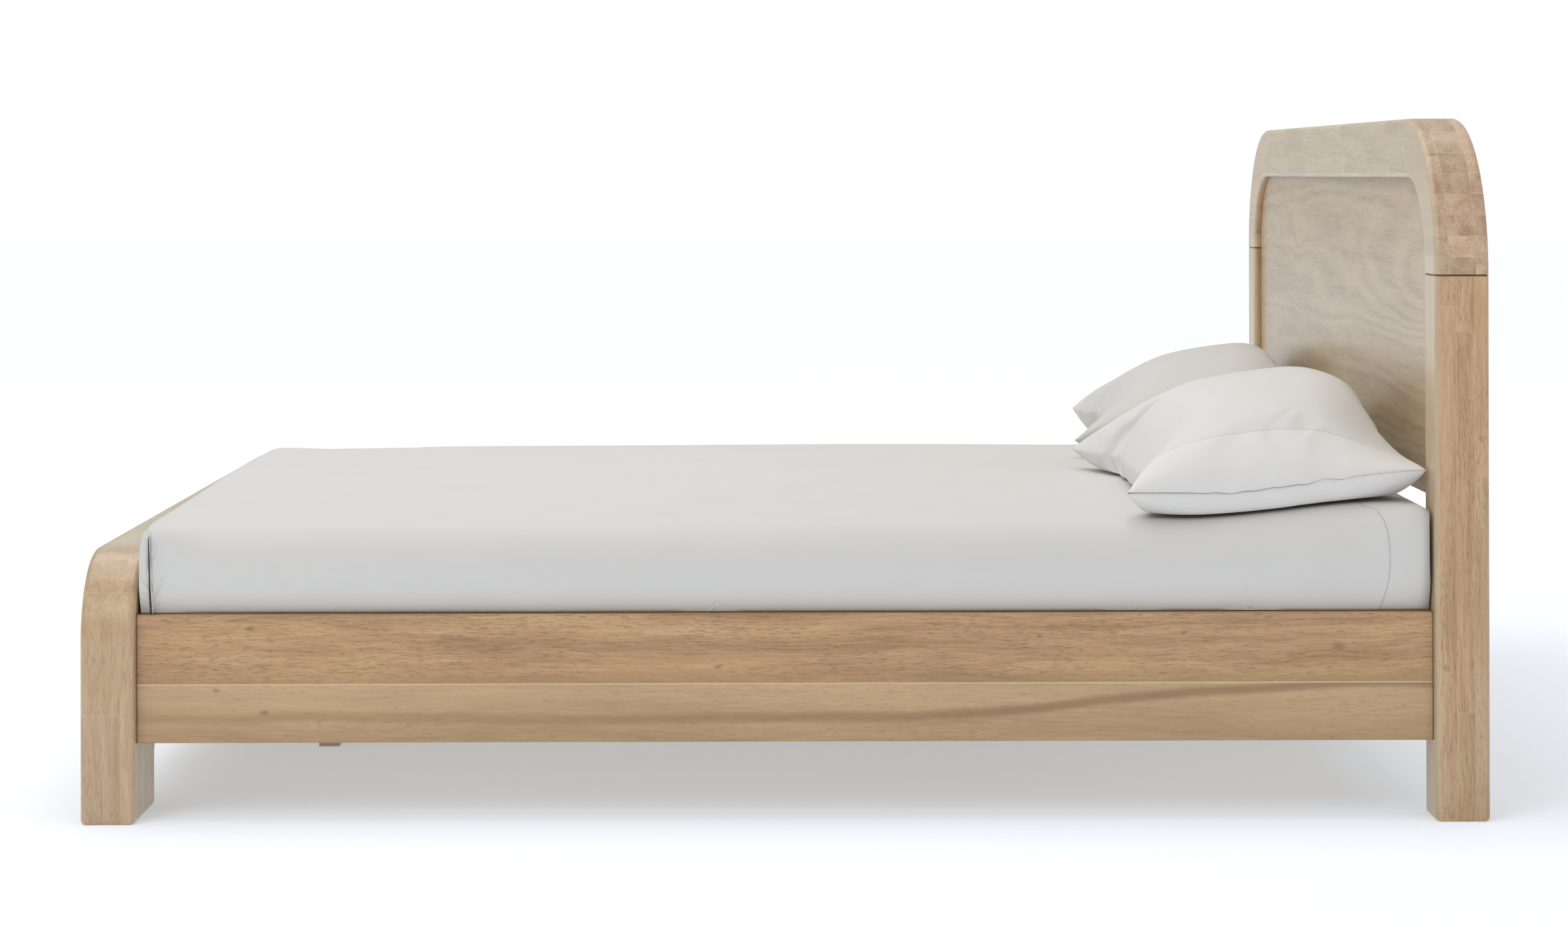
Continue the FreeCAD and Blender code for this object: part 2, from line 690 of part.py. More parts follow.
bolt_levels = (bracket_low + S.bolt_edge, bracket_high - S.bolt_edge)
bracket_bolts, bracket_screws, ledger_screws = [], [], []
for end, end_sign in (("head", 1), ("foot", -1)):
    outward = "+x" if end_sign > 0 else "-x"
    for side, sign in SIDES.items():
        sideways = "+y" if sign > 0 else "-y"
        face_x = (head_face - S.bracket_thick) * end_sign
        bolt_y = (rail_inner - S.bolt_reach) * sign
        screw_y = (rail_inner - S.bracket_thick) * sign
        for level in bolt_levels:
            bracket_bolts.append(Peg((face_x, bolt_y, level), outward, S.bolt_length, S.bolt_radius,
                                     S.bolt_head, S.bolt_cap, at=(end, side)))
        for along in (S.near_screw, S.far_screw):
            start = ((head_face - along) * end_sign, screw_y, bracket_middle)
            bracket_screws.append(wood_screw(start, sideways, S.screw_length, (end, side)))

ledger_end = head_face - S.slat_margin + S.ledger_reach
screw_step = ledger_end * 2 / SCREWS_PER_LEDGER
for side, sign in SIDES.items():
    for index in range(SCREWS_PER_LEDGER):
        start = (-ledger_end + screw_step * (index + 0.5), (rail_inner - S.ledger_width) * sign,
                 slat_bottom - S.ledger_drop)
        ledger_screws.append(wood_screw(start, "+y" if sign > 0 else "-y",
                                        S.ledger_width + S.ledger_bite, side))


def side_rail(side, sign):
    low_y = rail_inner if sign > 0 else -rail_outer
    body = board("side_rail_" + side, (foot_face, low_y, S.rail_bottom),
                 (head_face * 2, S.rail_thick, S.rail_height), S.rail_round, "x")
    pegs = [peg for peg in bracket_screws if peg.at[1] == side]
    pegs += [peg for peg in ledger_screws if peg.at == side]
    return cut_holes(body, [peg.hole() for peg in pegs])


def slat_ledger(side, sign):
    low_y = rail_inner - S.ledger_width if sign > 0 else -rail_inner
    body = board("slat_ledger_" + side, (-ledger_end, low_y, slat_bottom - S.ledger_height),
                 (ledger_end * 2, S.ledger_width, S.ledger_height))
    holes = [peg.hole() for peg in ledger_screws if peg.at == side]
    holes += [peg.hole() for peg in slat_screws if peg.at[1] == side]
    return cut_holes(body, holes)


def corner_bracket(end, end_sign, side, sign):
    """An L of steel: one arm along the rail, one leg across the board's face."""
    body = new_body(f"bracket_{end}_{side}")
    sketch = new_sketch(body, "XY_Plane", bracket_low)
    x_face, y_face = head_face * end_sign, rail_inner * sign
    draw_outline(sketch, [
        (x_face, y_face),
        (x_face, y_face - S.bracket_leg * sign),
        (x_face - S.bracket_thick * end_sign, y_face - S.bracket_leg * sign),
        (x_face - S.bracket_thick * end_sign, y_face - S.bracket_thick * sign),
        (x_face - S.bracket_arm * end_sign, y_face - S.bracket_thick * sign),
        (x_face - S.bracket_arm * end_sign, y_face),
    ])
    pad(body, sketch, bracket_high - bracket_low)
    return cut_holes(body, plate_holes([peg for peg in bracket_bolts + bracket_screws
                                        if peg.at == (end, side)]))


# --- slat deck ----------------------------------------------------------------------------------------

slat_half = rail_inner - S.slat_play
first_slat = foot_face + S.slat_margin
slat_step = (head_face * 2 - S.slat_margin * 2 - S.slat_width) / (SLAT_COUNT - 1)
slat_screws = []
for index in range(SLAT_COUNT):
    for side, sign in SIDES.items():
        start = (first_slat + slat_step * index + S.slat_width / 2,
                 (rail_inner - S.ledger_width / 2) * sign,
                 S.deck_height - S.screw_cap - S.hole_gap)
        length = S.slat_thick - S.screw_cap - S.hole_gap + S.slat_bite
        slat_screws.append(wood_screw(start, "-z", length, (index, side)))


def slat(index):
    low = (first_slat + slat_step * index, -slat_half, slat_bottom)
    size = (S.slat_width, slat_half * 2, S.slat_thick)
    body = board(f"slat_{index + 1:02d}", low, size, S.rail_round, "y")
    return cut_holes(body, [peg.sunk_hole() for peg in slat_screws if peg.at[0] == index])


# --- centre beam, cradles, cross bearer and legs -------------------------------------------------------

beam_bottom = slat_bottom - S.beam_height
stretcher_face = head_face + S.stretcher_set
beam_head_end = stretcher_face - S.bracket_thick - S.beam_play
beam_foot_end = foot_face + S.bracket_thick + S.beam_play
cradle_side = S.beam_width / 2 + S.beam_play
cradle_low, cradle_high = beam_bottom - S.bracket_thick, slat_bottom - S.cradle_drop
bearer_place = foot_face + S.bearer_set
head_leg_place = head_face - S.head_leg_set
cradle_screws = {}
for end, face, heading in (("head", stretcher_face, "+x"), ("foot", foot_face, "-x")):
    cradle_screws[end] = []
    for sign in (-1, 1):
        wing_middle = (cradle_side + S.bracket_thick + S.cradle_wing / 2) * sign
        start = stepped((face, wing_middle, cradle_high - S.cradle_edge), heading, -S.bracket_thick)
        cradle_screws[end].append(wood_screw(start, heading, S.screw_length, end))


def beam_cradle(end, face, inward_sign):
    """A steel shoe that the beam's end drops into, with a wing each side for its screws."""
    body = new_body("beam_cradle_" + end)
    half = cradle_side + S.bracket_thick + S.cradle_wing
    sketch = new_sketch(body, "YZ_Plane", face if inward_sign > 0 else face - S.bracket_thick)
    draw_outline(sketch, rectangle(-half, half, cradle_low, cradle_high))
    pad(body, sketch, S.bracket_thick)
    wall = cradle_side + S.bracket_thick
    start = face + S.bracket_thick if inward_sign > 0 else face - S.bracket_thick - S.cradle_arm
    sketch = new_sketch(body, "YZ_Plane", start)
    draw_outline(sketch, [(-wall, cradle_low), (wall, cradle_low), (wall, cradle_high),
                          (cradle_side, cradle_high), (cradle_side, beam_bottom),
                          (-cradle_side, beam_bottom), (-cradle_side, cradle_high), (-wall, cradle_high)])
    pad(body, sketch, S.cradle_arm)
    return cut_holes(body, plate_holes(cradle_screws[end]))


def support_leg(name, place_x, place_y, height):
    half = S.leg_side / 2
    return node(name, board(name, (place_x - half, place_y - half, 0), (S.leg_side, S.leg_side, height),
                            S.leg_round, "z"))


# --- bedding -------------------------------------------------------------------------------------------

mattress_side = rail_inner + S.mattress_bulge


def mattress():
    """A slab that fills the frame and swells a little over the side rails."""
    body = new_body("mattress")
    low, high = S.deck_height + S.mattress_rest, S.deck_height + S.mattress_height
    waist = rail_inner - S.mattress_gap
    over = rail_top + S.mattress_gap
    sketch = new_sketch(body, "YZ_Plane", foot_face + S.mattress_gap)
    draw_outline(sketch, [(-waist, low), (waist, low), (waist, over), (mattress_side, over),
                          (mattress_side, high), (-mattress_side, high), (-mattress_side, over),
                          (-waist, over)])
    pad(body, sketch, (head_face - S.mattress_gap) * 2)
    dress(body, "Fillet", S.mattress_round,
          lambda edge: is_at(middle_of(edge).z, high) and across(edge, "z"))
    return body


def pillow(side, sign):
    """A flat oval slab, rounded all over."""
    body = new_body("pillow_" + side)
    sketch = new_sketch(body, "XY_Plane", S.deck_height + S.mattress_height + S.pillow_rise)
    x_high = head_face - S.pillow_back
    y_near = S.pillow_apart / 2 * sign
    y_far = (mattress_side - S.pillow_side) * sign
    draw_outline(sketch, rectangle(x_high - S.pillow_width, x_high, y_near, y_far))
    pad(body, sketch, S.pillow_height)
    dress(body, "Fillet", S.pillow_edge, lambda edge: spans(edge, "z"))
    dress(body, "Fillet", S.pillow_round, lambda edge: across(edge, "z"))
    return body


# --- the bed -------------------------------------------------------------------------------------------

for side, sign in SIDES.items():
    node("headboard_post_" + side, head_post(side, sign))
    node("headboard_corner_" + side, head_corner(side, sign))
    node("footboard_leg_" + side, foot_leg(side, sign))
    node("footboard_corner_" + side, foot_corner(side, sign))
    node("side_rail_" + side, side_rail(side, sign))
    node("slat_ledger_" + side, slat_ledger(side, sign))
    node("pillow_" + side, pillow(side, sign))
    for end, end_sign in (("head", 1), ("foot", -1)):
        node(f"corner_bracket_{end}_{side}", corner_bracket(end, end_sign, side, sign))
node("headboard_top_rail", head_top_rail())
node("headboard_panel", head_panel())
node("headboard_stretcher", head_stretcher())
node("footboard_top_rail", foot_top_rail())
node("footboard_lower_rail", foot_low_rail())
node("footboard_outer_skin", foot_skin("foot_outer_skin", foot_outer))
node("footboard_inner_skin", foot_skin("foot_inner_skin", foot_face - S.skin_thick))
for index in range(SLAT_COUNT):
    node(f"slat_{index + 1:02d}", slat(index))
node("centre_beam", board("centre_beam", (beam_foot_end, -S.beam_width / 2, beam_bottom),
                          (beam_head_end - beam_foot_end, S.beam_width, S.beam_height), S.rail_round, "x"))
node("beam_cradle_head", beam_cradle("head", stretcher_face, -1))
node("beam_cradle_foot", beam_cradle("foot", foot_face, 1))
node("cross_bearer", board("cross_bearer",
                           (bearer_place - S.bearer_width / 2, -S.bearer_length / 2,
                            beam_bottom - S.bearer_height),
                           (S.bearer_width, S.bearer_length, S.bearer_height), S.rail_round, "y"))
for side, sign in SIDES.items():
    support_leg("support_leg_foot_" + side, bearer_place, S.leg_spread / 2 * sign,
                beam_bottom - S.bearer_height)
support_leg("support_leg_middle", (bearer_place + head_leg_place) / 2, as_size(0), beam_bottom)
support_leg("support_leg_head", head_leg_place, as_size(0), beam_bottom)
peg_group("headboard_dowels", [peg for side in SIDES
                               for peg in post_pegs[side] + corner_pegs[side] + stretcher_pegs[side]])
peg_group("footboard_dowels", [peg for side in SIDES
                               for peg in leg_pegs[side] + foot_rail_pegs[side] + low_rail_pegs[side]])
peg_group("corner_bolts", bracket_bolts)
peg_group("bracket_screws", bracket_screws + cradle_screws["head"] + cradle_screws["foot"])
peg_group("ledger_screws", ledger_screws)
peg_group("slat_screws", slat_screws)
node("mattress", mattress())

doc.recompute()

# --- checks and files ------------------------------------------------------------------------------------

for thing in doc.Objects:
    if "Invalid" in thing.State or "Error" in thing.State:
        raise ValueError(f"{thing.Name} ({thing.Label}) failed: {thing.State}")
os.makedirs("parts", exist_ok=True)
for name, thing in NODES.items():
    shape = thing.Shape
    if shape.isNull() or not shape.isValid() or shape.Volume < 1:
        raise ValueError(f"{name} is not a valid solid")
    shape.exportStep(f"parts/{name}.step")
    print(f"{name}: {len(shape.Solids)} solid(s), {shape.Volume / 1e6:.3f} litres")
print(len(NODES), "nodes")
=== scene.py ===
# %% [markdown]
# # A king-size wooden bed, dressed and finished
#
# The bed's hard parts come ready made, at their real size: a headboard frame with an inset panel, a low
# footboard, side rails, slats and steel corner hardware. Here they get their finishes, and the soft
# things are made: a mattress in its fitted sheet, and two pillows in their cases.

# %% Load the frame
import bmesh
import bpy
import math
from mathutils import Matrix, Vector, noise


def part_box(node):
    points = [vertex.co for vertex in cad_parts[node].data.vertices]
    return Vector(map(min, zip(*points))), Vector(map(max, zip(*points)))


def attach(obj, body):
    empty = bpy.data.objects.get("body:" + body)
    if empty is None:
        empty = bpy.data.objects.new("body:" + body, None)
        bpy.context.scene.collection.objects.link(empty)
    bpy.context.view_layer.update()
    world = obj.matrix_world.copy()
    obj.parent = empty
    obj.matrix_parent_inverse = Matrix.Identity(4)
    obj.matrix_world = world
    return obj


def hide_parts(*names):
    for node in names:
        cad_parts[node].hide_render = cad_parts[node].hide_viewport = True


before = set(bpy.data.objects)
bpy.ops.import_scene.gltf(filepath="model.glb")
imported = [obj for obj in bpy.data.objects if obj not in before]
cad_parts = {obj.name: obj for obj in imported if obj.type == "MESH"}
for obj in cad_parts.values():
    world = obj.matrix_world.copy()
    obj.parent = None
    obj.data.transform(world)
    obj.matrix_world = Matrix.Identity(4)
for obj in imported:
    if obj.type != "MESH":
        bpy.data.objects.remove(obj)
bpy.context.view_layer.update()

# %% [markdown]
# ## Camera, floor and light
#
# Furniture is often shown from the side with a long lens, because a long lens keeps upright things upright
# and lets the head and foot of the bed show at their true heights. The lens is shifted down instead of
# tilted, which keeps the posts parallel. The light is a white studio: an even white surround, a big soft
# panel overhead that makes the tops brighter than the sides, and a weak fill from the front. The camera
# sees the surround fully white, while the light that falls from it on the bed is gentler.

# %% Camera
camera_data = bpy.data.cameras.new("camera")
camera_data.lens = 77.44
camera_data.sensor_width = 36.0
camera_data.shift_x = 0.01638
camera_data.shift_y = -0.19019
camera = bpy.data.objects.new("camera", camera_data)
camera.location = (-0.040, -6.3315, 1.0274)
camera.rotation_euler = (math.radians(90), math.radians(0.149), 0)
bpy.context.collection.objects.link(camera)
bpy.context.scene.camera = camera
bpy.context.scene.view_settings.view_transform = "Standard"


# %% One function adds a node
def add(tree, kind, inputs=None, out=0, **settings):
    """Adds a node, sets its properties, and fills or links its inputs. Gives back one output."""
    node = tree.nodes.new("ShaderNode" + kind)
    stops = settings.pop("stops", None)
    for name, value in settings.items():
        setattr(node, name, value)
    if stops:
        while len(node.color_ramp.elements) < len(stops):
            node.color_ramp.elements.new(0.5)
        for element, (place, color) in zip(node.color_ramp.elements, stops):
            element.position = place
            element.color = color
    for name, value in (inputs or {}).items():
        if isinstance(value, bpy.types.NodeSocket):
            tree.links.new(value, node.inputs[name])
        else:
            node.inputs[name].default_value = value
    return node if out is None else node.outputs[out]


def tone(code, strength=1.0):
    """A colour written as a hex code, turned to the linear values that light is reckoned in."""
    parts = [int(code[index:index + 2], 16) / 255 for index in (1, 3, 5)]
    linear = [part / 12.92 if part <= 0.04045 else ((part + 0.055) / 1.055) ** 2.4 for part in parts]
    return (*[part * strength for part in linear], 1.0)


# %% Studio
WHITE = tone("#ffffff")
world = bpy.data.worlds.new("studio")
world.use_nodes = True
bpy.context.scene.world = world
tree = world.node_tree
tree.nodes.clear()
surround = add(tree, "Background", {"Color": WHITE, "Strength": 0.60})
backdrop = add(tree, "Background", {"Color": WHITE, "Strength": 1.0})
seen = add(tree, "LightPath", out="Is Camera Ray")
mixed = add(tree, "MixShader", {0: seen, 1: surround, 2: backdrop})
add(tree, "OutputWorld", {"Surface": mixed}, out=None)


def soft_light(name, place, aim, size, power):
    """A square panel of soft light, turned to face a point."""
    data = bpy.data.lights.new(name, "AREA")
    data.shape = "SQUARE"
    data.size = size
    data.energy = power
    light = bpy.data.objects.new(name, data)
    light.location = place
    light.rotation_euler = (Vector(aim) - Vector(place)).to_track_quat("-Z", "Y").to_euler()
    bpy.context.collection.objects.link(light)


soft_light("overhead", (-0.6, 0.3, 4.2), (0, 0, 0), 4.5, 95)
soft_light("front_fill", (-3.0, -4.8, 3.6), (0, 0, 0.3), 2.5, 42)

# %% Floor
bpy.ops.mesh.primitive_plane_add(size=80)
floor = bpy.context.object
floor.name = "floor"
material = bpy.data.materials.new("white studio floor")
material.use_nodes = True
tree = material.node_tree
tree.nodes.clear()
# The floor glows a little, and more far off, so that it runs into the white surround without a horizon.
place = add(tree, "TexCoord", out="Object")
far = add(tree, "VectorMath", {0: place}, out="Value", operation="LENGTH")
level = add(tree, "MapRange", {0: far, 1: 1.8, 2: 5.0, 3: 0.33, 4: 0.56})
paint = add(tree, "BsdfDiffuse", {"Color": tone("#e4e9f1"), "Roughness": 0.5})
glow = add(tree, "Emission", {"Color": tone("#f5f9ff"), "Strength": level})
floor_mix = add(tree, "AddShader", {0: paint, 1: glow})
add(tree, "OutputMaterial", {"Surface": floor_mix}, out=None)
floor.data.materials.append(material)
print("studio ready")

# %% [markdown]
# ## Wood
#
# The frame is glued up from light hardwood, such as acacia or rubberwood: staves side by side in the posts,
# short blocks in the round corners, wide boards in the rails. Each stave comes from another tree, so its
# colour and figure jump at the glue line. One solid pattern in three dimensions does this: space is cut
# into cells the size of the staves, each cell gets a random tint and a random shift, and stretched noise
# draws fibres along the grain. Because the pattern fills space, the round corners show end grain by
# themselves. On top lies a satin lacquer, which is a thin glossy coat.

# %% Wood material
MM = 0.001
AXES = {"x": (0, 1, 2), "y": (1, 0, 2), "z": (2, 1, 0)}


def wood(name, grain, tones, stave=None, start=(0.0, 0.0), tint=0.5, streak=0.5, pores=0.5,
         rings=0.0, lines=0.5, coat=0.4, roughness=0.42, extra=None):
    """A solid wood pattern. stave is a stave's size across, through and along the grain, in metres; tones
    are light, middle, dark and pore colours; extra(tree, object coordinates, colour) may paint on."""
    material = bpy.data.materials.new(name)
    material.use_nodes = True
    tree = material.node_tree
    tree.nodes.clear()
    place = add(tree, "TexCoord", out="Object")
    apart = add(tree, "SeparateXYZ", {0: place}, out=None)
    along, across, through = [apart.outputs[index] for index in AXES[grain]]
    # Each way, the whole part of a place counted in staves numbers the stave, the rest tells the edges.
    cells, seam = [], None
    slip = 0.0
    for value, width, shift in zip((across, through, along), stave or (), (*start, 0.0)):
        if len(cells) == 2:
            row = add(tree, "CombineXYZ", {0: cells[0], 1: cells[1], 2: 7.0})
            slip = add(tree, "TexWhiteNoise", {0: row}, noise_dimensions="3D")
        else:
            slip = 100 - shift / width
        steps = add(tree, "Math", {0: value, 1: 1 / width, 2: slip}, operation="MULTIPLY_ADD")
        cells.append(add(tree, "Math", {0: steps}, operation="FLOOR"))
        part = add(tree, "Math", {0: steps}, operation="FRACT")
        inner = add(tree, "Math", {0: part, 1: 0.5}, operation="SUBTRACT")
        middle = add(tree, "Math", {0: inner}, operation="ABSOLUTE")
        edge = add(tree, "MapRange", {0: middle, 1: 0.5 - 1.3 * MM / width, 2: 0.5, 3: 0.0, 4: lines})
        seam = edge if seam is None else add(tree, "Math", {0: seam, 1: edge}, operation="MAXIMUM")
    cells += [float(len(name))] * (3 - len(cells))
    cell = add(tree, "CombineXYZ", {0: cells[0], 1: cells[1], 2: cells[2]})
    chance = add(tree, "TexWhiteNoise", {0: cell}, out=None, noise_dimensions="3D")
    # Fibre coordinates: along the grain first, with a random shift for every stave.
    fibre = add(tree, "CombineXYZ", {0: along, 1: across, 2: through})
    shifted = add(tree, "VectorMath", {0: chance.outputs[1], 1: (3.0, 1.0, 1.0), 2: fibre},
                  operation="MULTIPLY_ADD")
    sway = add(tree, "TexNoise", {0: shifted, "Scale": 2.6, "Detail": 2.0}, out=1)
    swayed = add(tree, "VectorMath", {0: sway, 1: (0.0, 0.045, 0.045), 2: shifted},
                 operation="MULTIPLY_ADD")
    # Broad streaks about 15 mm wide, fine fibres about 2 mm wide, pores 1 mm wide and 8 mm long.
    broad_at = add(tree, "VectorMath", {0: swayed, 1: (2.2, 34.0, 34.0)}, operation="MULTIPLY")
    broad = add(tree, "TexNoise", {0: broad_at, "Scale": 1.0, "Detail": 3.0, "Roughness": 0.55})
    fine_at = add(tree, "VectorMath", {0: swayed, 1: (9.0, 260.0, 260.0)}, operation="MULTIPLY")
    fine = add(tree, "TexNoise", {0: fine_at, "Scale": 1.0, "Detail": 2.0, "Roughness": 0.6})
    pore_at = add(tree, "VectorMath", {0: shifted, 1: (60.0, 620.0, 620.0)}, operation="MULTIPLY")
    pore = add(tree, "TexNoise", {0: pore_at, "Scale": 1.0, "Detail": 1.0})
    ring_at = add(tree, "VectorMath", {0: swayed, 1: (0.13, 2.9, 2.9)}, operation="MULTIPLY")
    ring = add(tree, "TexNoise", {0: ring_at, "Scale": 1.5, "Detail": 1.5, "Roughness": 0.4})
    ring_turn = add(tree, "Math", {0: ring, 1: 210.0}, operation="MULTIPLY")
    ring_wave = add(tree, "Math", {0: ring_turn}, operation="SINE")
    ring_part = add(tree, "Math", {0: ring_wave, 1: rings * 0.5}, operation="MULTIPLY")
    # Their sum runs from light to dark wood.
    grained = add(tree, "MapRange", {0: broad, 1: 0.32, 2: 0.68,
                                     3: 0.5 - streak * 0.5, 4: 0.5 + streak * 0.5})
    fibred = add(tree, "MapRange", {0: fine, 1: 0.3, 2: 0.7, 3: -0.2, 4: 0.2})
    summed = add(tree, "Math", {0: grained, 1: fibred}, operation="ADD")
    summed = add(tree, "Math", {0: summed, 1: ring_part}, operation="ADD")
    light, mid, dark, pore_tone = [tone(code) for code in tones]
    color = add(tree, "ValToRGB", {0: summed}, stops=((0.0, light), (0.5, mid), (1.0, dark)))
    # Each stave is a little lighter, darker, redder or yellower than the next.
    value = add(tree, "MapRange", {0: chance.outputs[0], 1: 0.0, 2: 1.0,
                                   3: 1 - 0.3 * tint, 4: 1 + 0.22 * tint})
    hue_part = add(tree, "SeparateColor", {0: chance.outputs[1]}, out=1)
    hue = add(tree, "MapRange", {0: hue_part, 1: 0.0, 2: 1.0,
                                 3: 0.5 - 0.016 * tint, 4: 0.5 + 0.01 * tint})
    color = add(tree, "HueSaturation", {"Hue": hue, "Value": value, "Color": color})
    # Pores are short dark strokes, thick in some places and missing in others.
    clump_at = add(tree, "VectorMath", {0: shifted, 1: (3.0, 16.0, 16.0)}, operation="MULTIPLY")
    clump = add(tree, "TexNoise", {0: clump_at, "Scale": 1.0, "Detail": 1.0})
    level = add(tree, "MapRange", {0: clump, 1: 0.3, 2: 0.7, 3: 0.0, 4: 0.1})
    raised = add(tree, "Math", {0: pore, 1: level}, operation="ADD")
    open_pore = add(tree, "MapRange", {0: raised, 1: 0.62, 2: 0.72, 3: 0.0, 4: pores})
    color = add(tree, "Mix", {0: open_pore, 6: color, 7: pore_tone}, out=2, data_type="RGBA")
    if seam:
        color = add(tree, "Mix", {0: seam, 6: color, 7: tone("#d9c3a0")}, out=2, data_type="RGBA")
    if extra:
        color = extra(tree, apart, color)
    dip = add(tree, "Math", {0: open_pore, 1: -1.0, 2: 1.0}, operation="MULTIPLY_ADD")
    bump = add(tree, "Bump", {"Height": dip, "Distance": 0.15 * MM, "Strength": 0.5})
    shader = add(tree, "BsdfPrincipled", {
        "Base Color": color, "Roughness": roughness, "IOR": 1.5, "Coat Weight": coat,
        "Coat Roughness": 0.22, "Coat IOR": 1.5, "Normal": bump})
    add(tree, "OutputMaterial", {"Surface": shader}, out=None)
    return material


# %% [markdown]
# ## The rail's two boards
#
# A side rail is two boards glued edge to edge. The upper one is golden with a wavy figure and a few pin
# knots, the lower one is paler and has a long brown streak of heartwood. The glue line between them
# catches the light as a thin bright line.

# %% Paint on the rail
GLUE_HEIGHT = 0.2185
RAIL_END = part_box("side_rail_right")[1][0]
# Pin knots of the near rail: along the bed, height and radius in metres.
KNOTS = ((-0.847, 0.307, 0.0035), (-0.900, 0.209, 0.003), (-0.824, 0.174, 0.004), (-0.106, 0.245, 0.003),
         (0.403, 0.292, 0.0025), (0.631, 0.297, 0.003), (0.877, 0.276, 0.0055))


def rail_paint(tree, apart, color):
    """Adds the lower board's tones, its brown streak, the glue line and the knots."""
    along, height = apart.outputs[0], apart.outputs[2]
    lower = add(tree, "MapRange", {0: height, 1: GLUE_HEIGHT - 0.4 * MM, 2: GLUE_HEIGHT + 0.4 * MM,
                                   3: 1.0, 4: 0.0})
    fade = add(tree, "MapRange", {0: height, 1: 0.126, 2: GLUE_HEIGHT, 3: 0.0, 4: 1.0})
    pale = add(tree, "Mix", {0: fade, 6: tone("#a88e66"), 7: tone("#ceb289")}, out=2, data_type="RGBA")
    paled = add(tree, "Mix", {0: 0.5, 6: color, 7: pale}, out=2, data_type="RGBA")
    color = add(tree, "Mix", {0: lower, 6: color, 7: paled}, out=2, data_type="RGBA")
    # The streak lies level and rises towards the head; noise makes it wander.
    where = add(tree, "CombineXYZ", {0: along, 1: 0.0, 2: height})
    wander = add(tree, "TexNoise", {0: where, "Scale": 3.5, "Detail": 2.0})
    rise = add(tree, "MapRange", {0: along, 1: 0.1, 2: 0.95, 3: 0.154, 4: 0.206},
               interpolation_type="SMOOTHSTEP")
    middle = add(tree, "Math", {0: wander, 1: 0.02, 2: rise}, operation="MULTIPLY_ADD")
    off = add(tree, "Math", {0: height, 1: middle}, operation="SUBTRACT")
    off = add(tree, "Math", {0: off}, operation="ABSOLUTE")
    deep = add(tree, "MapRange", {0: along, 1: -0.8, 2: 0.4, 3: 0.3, 4: 0.7})
    band = add(tree, "MapRange", {0: off, 1: 0.002, 2: 0.013, 3: 1.0, 4: 0.0},
               interpolation_type="SMOOTHSTEP")
    band = add(tree, "Math", {0: band, 1: deep}, operation="MULTIPLY")
    band = add(tree, "Math", {0: band, 1: lower}, operation="MULTIPLY")
    color = add(tree, "Mix", {0: band, 6: color, 7: tone("#8c6641")}, out=2, data_type="RGBA")
    # A soft brown shade just above the glue line.
    above = add(tree, "MapRange", {0: height, 1: GLUE_HEIGHT, 2: GLUE_HEIGHT + 0.035, 3: 0.55, 4: 0.0},
                interpolation_type="SMOOTHSTEP")
    upper = add(tree, "Math", {0: 1.0, 1: lower}, operation="SUBTRACT")
    above = add(tree, "Math", {0: above, 1: upper}, operation="MULTIPLY")
    color = add(tree, "Mix", {0: above, 6: color, 7: tone("#a98455")}, out=2, data_type="RGBA")
    # The glue line is a thin bright line of painted highlight.
    off = add(tree, "Math", {0: height, 1: GLUE_HEIGHT}, operation="SUBTRACT")
    off = add(tree, "Math", {0: off}, operation="ABSOLUTE")
    line = add(tree, "MapRange", {0: off, 1: 0.4 * MM, 2: 1.5 * MM, 3: 0.7, 4: 0.0})
    color = add(tree, "Mix", {0: line, 6: color, 7: tone("#e0c9a2")}, out=2, data_type="RGBA")
    for knot_x, knot_z, radius in KNOTS:
        away = add(tree, "VectorMath", {0: where, 1: (knot_x, 0.0, knot_z)}, operation="SUBTRACT")
        flat = add(tree, "VectorMath", {0: away, 1: (0.55, 1.0, 1.0)}, operation="MULTIPLY")
        far = add(tree, "VectorMath", {0: flat}, out="Value", operation="LENGTH")
        halo = add(tree, "MapRange", {0: far, 1: radius * 0.3, 2: radius * 1.6, 3: 0.55, 4: 0.0},
                   interpolation_type="SMOOTHSTEP")
        color = add(tree, "Mix", {0: halo, 6: color, 7: tone("#7c5838")}, out=2, data_type="RGBA")
    # The ends are dark where the rail butts against the boards.
    reach = add(tree, "Math", {0: along}, operation="ABSOLUTE")
    butt = add(tree, "MapRange", {0: reach, 1: RAIL_END - 3.0 * MM, 2: RAIL_END - 0.8 * MM, 3: 0.0, 4: 0.85})
    return add(tree, "Mix", {0: butt, 6: color, 7: tone("#4e3724")}, out=2, data_type="RGBA")


# %% Paint on the boards
BOARD_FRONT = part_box("headboard_post_right")[0][0]
JOINT_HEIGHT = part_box("headboard_post_right")[1][2]


def board_paint(tree, apart, color):
    """The faces towards the bed get a painted reflection, paler and greener, and the joint over each post is
    a dark line.
    """
    # Painted reflection: the faces towards the bed are painted paler and greener than the rest.
    front = add(tree, "MapRange", {0: apart.outputs[0], 1: BOARD_FRONT + 1.5 * MM, 2: BOARD_FRONT + 9 * MM,
                                   3: 0.6, 4: 0.0})
    color = add(tree, "Mix", {0: front, 6: color, 7: tone("#c3b699")}, out=2, data_type="RGBA")
    off = add(tree, "Math", {0: apart.outputs[2], 1: JOINT_HEIGHT}, operation="SUBTRACT")
    off = add(tree, "Math", {0: off}, operation="ABSOLUTE")
    line = add(tree, "MapRange", {0: off, 1: 0.9 * MM, 2: 2.2 * MM, 3: 0.85, 4: 0.0})
    return add(tree, "Mix", {0: line, 6: color, 7: tone("#4e3724")}, out=2, data_type="RGBA")


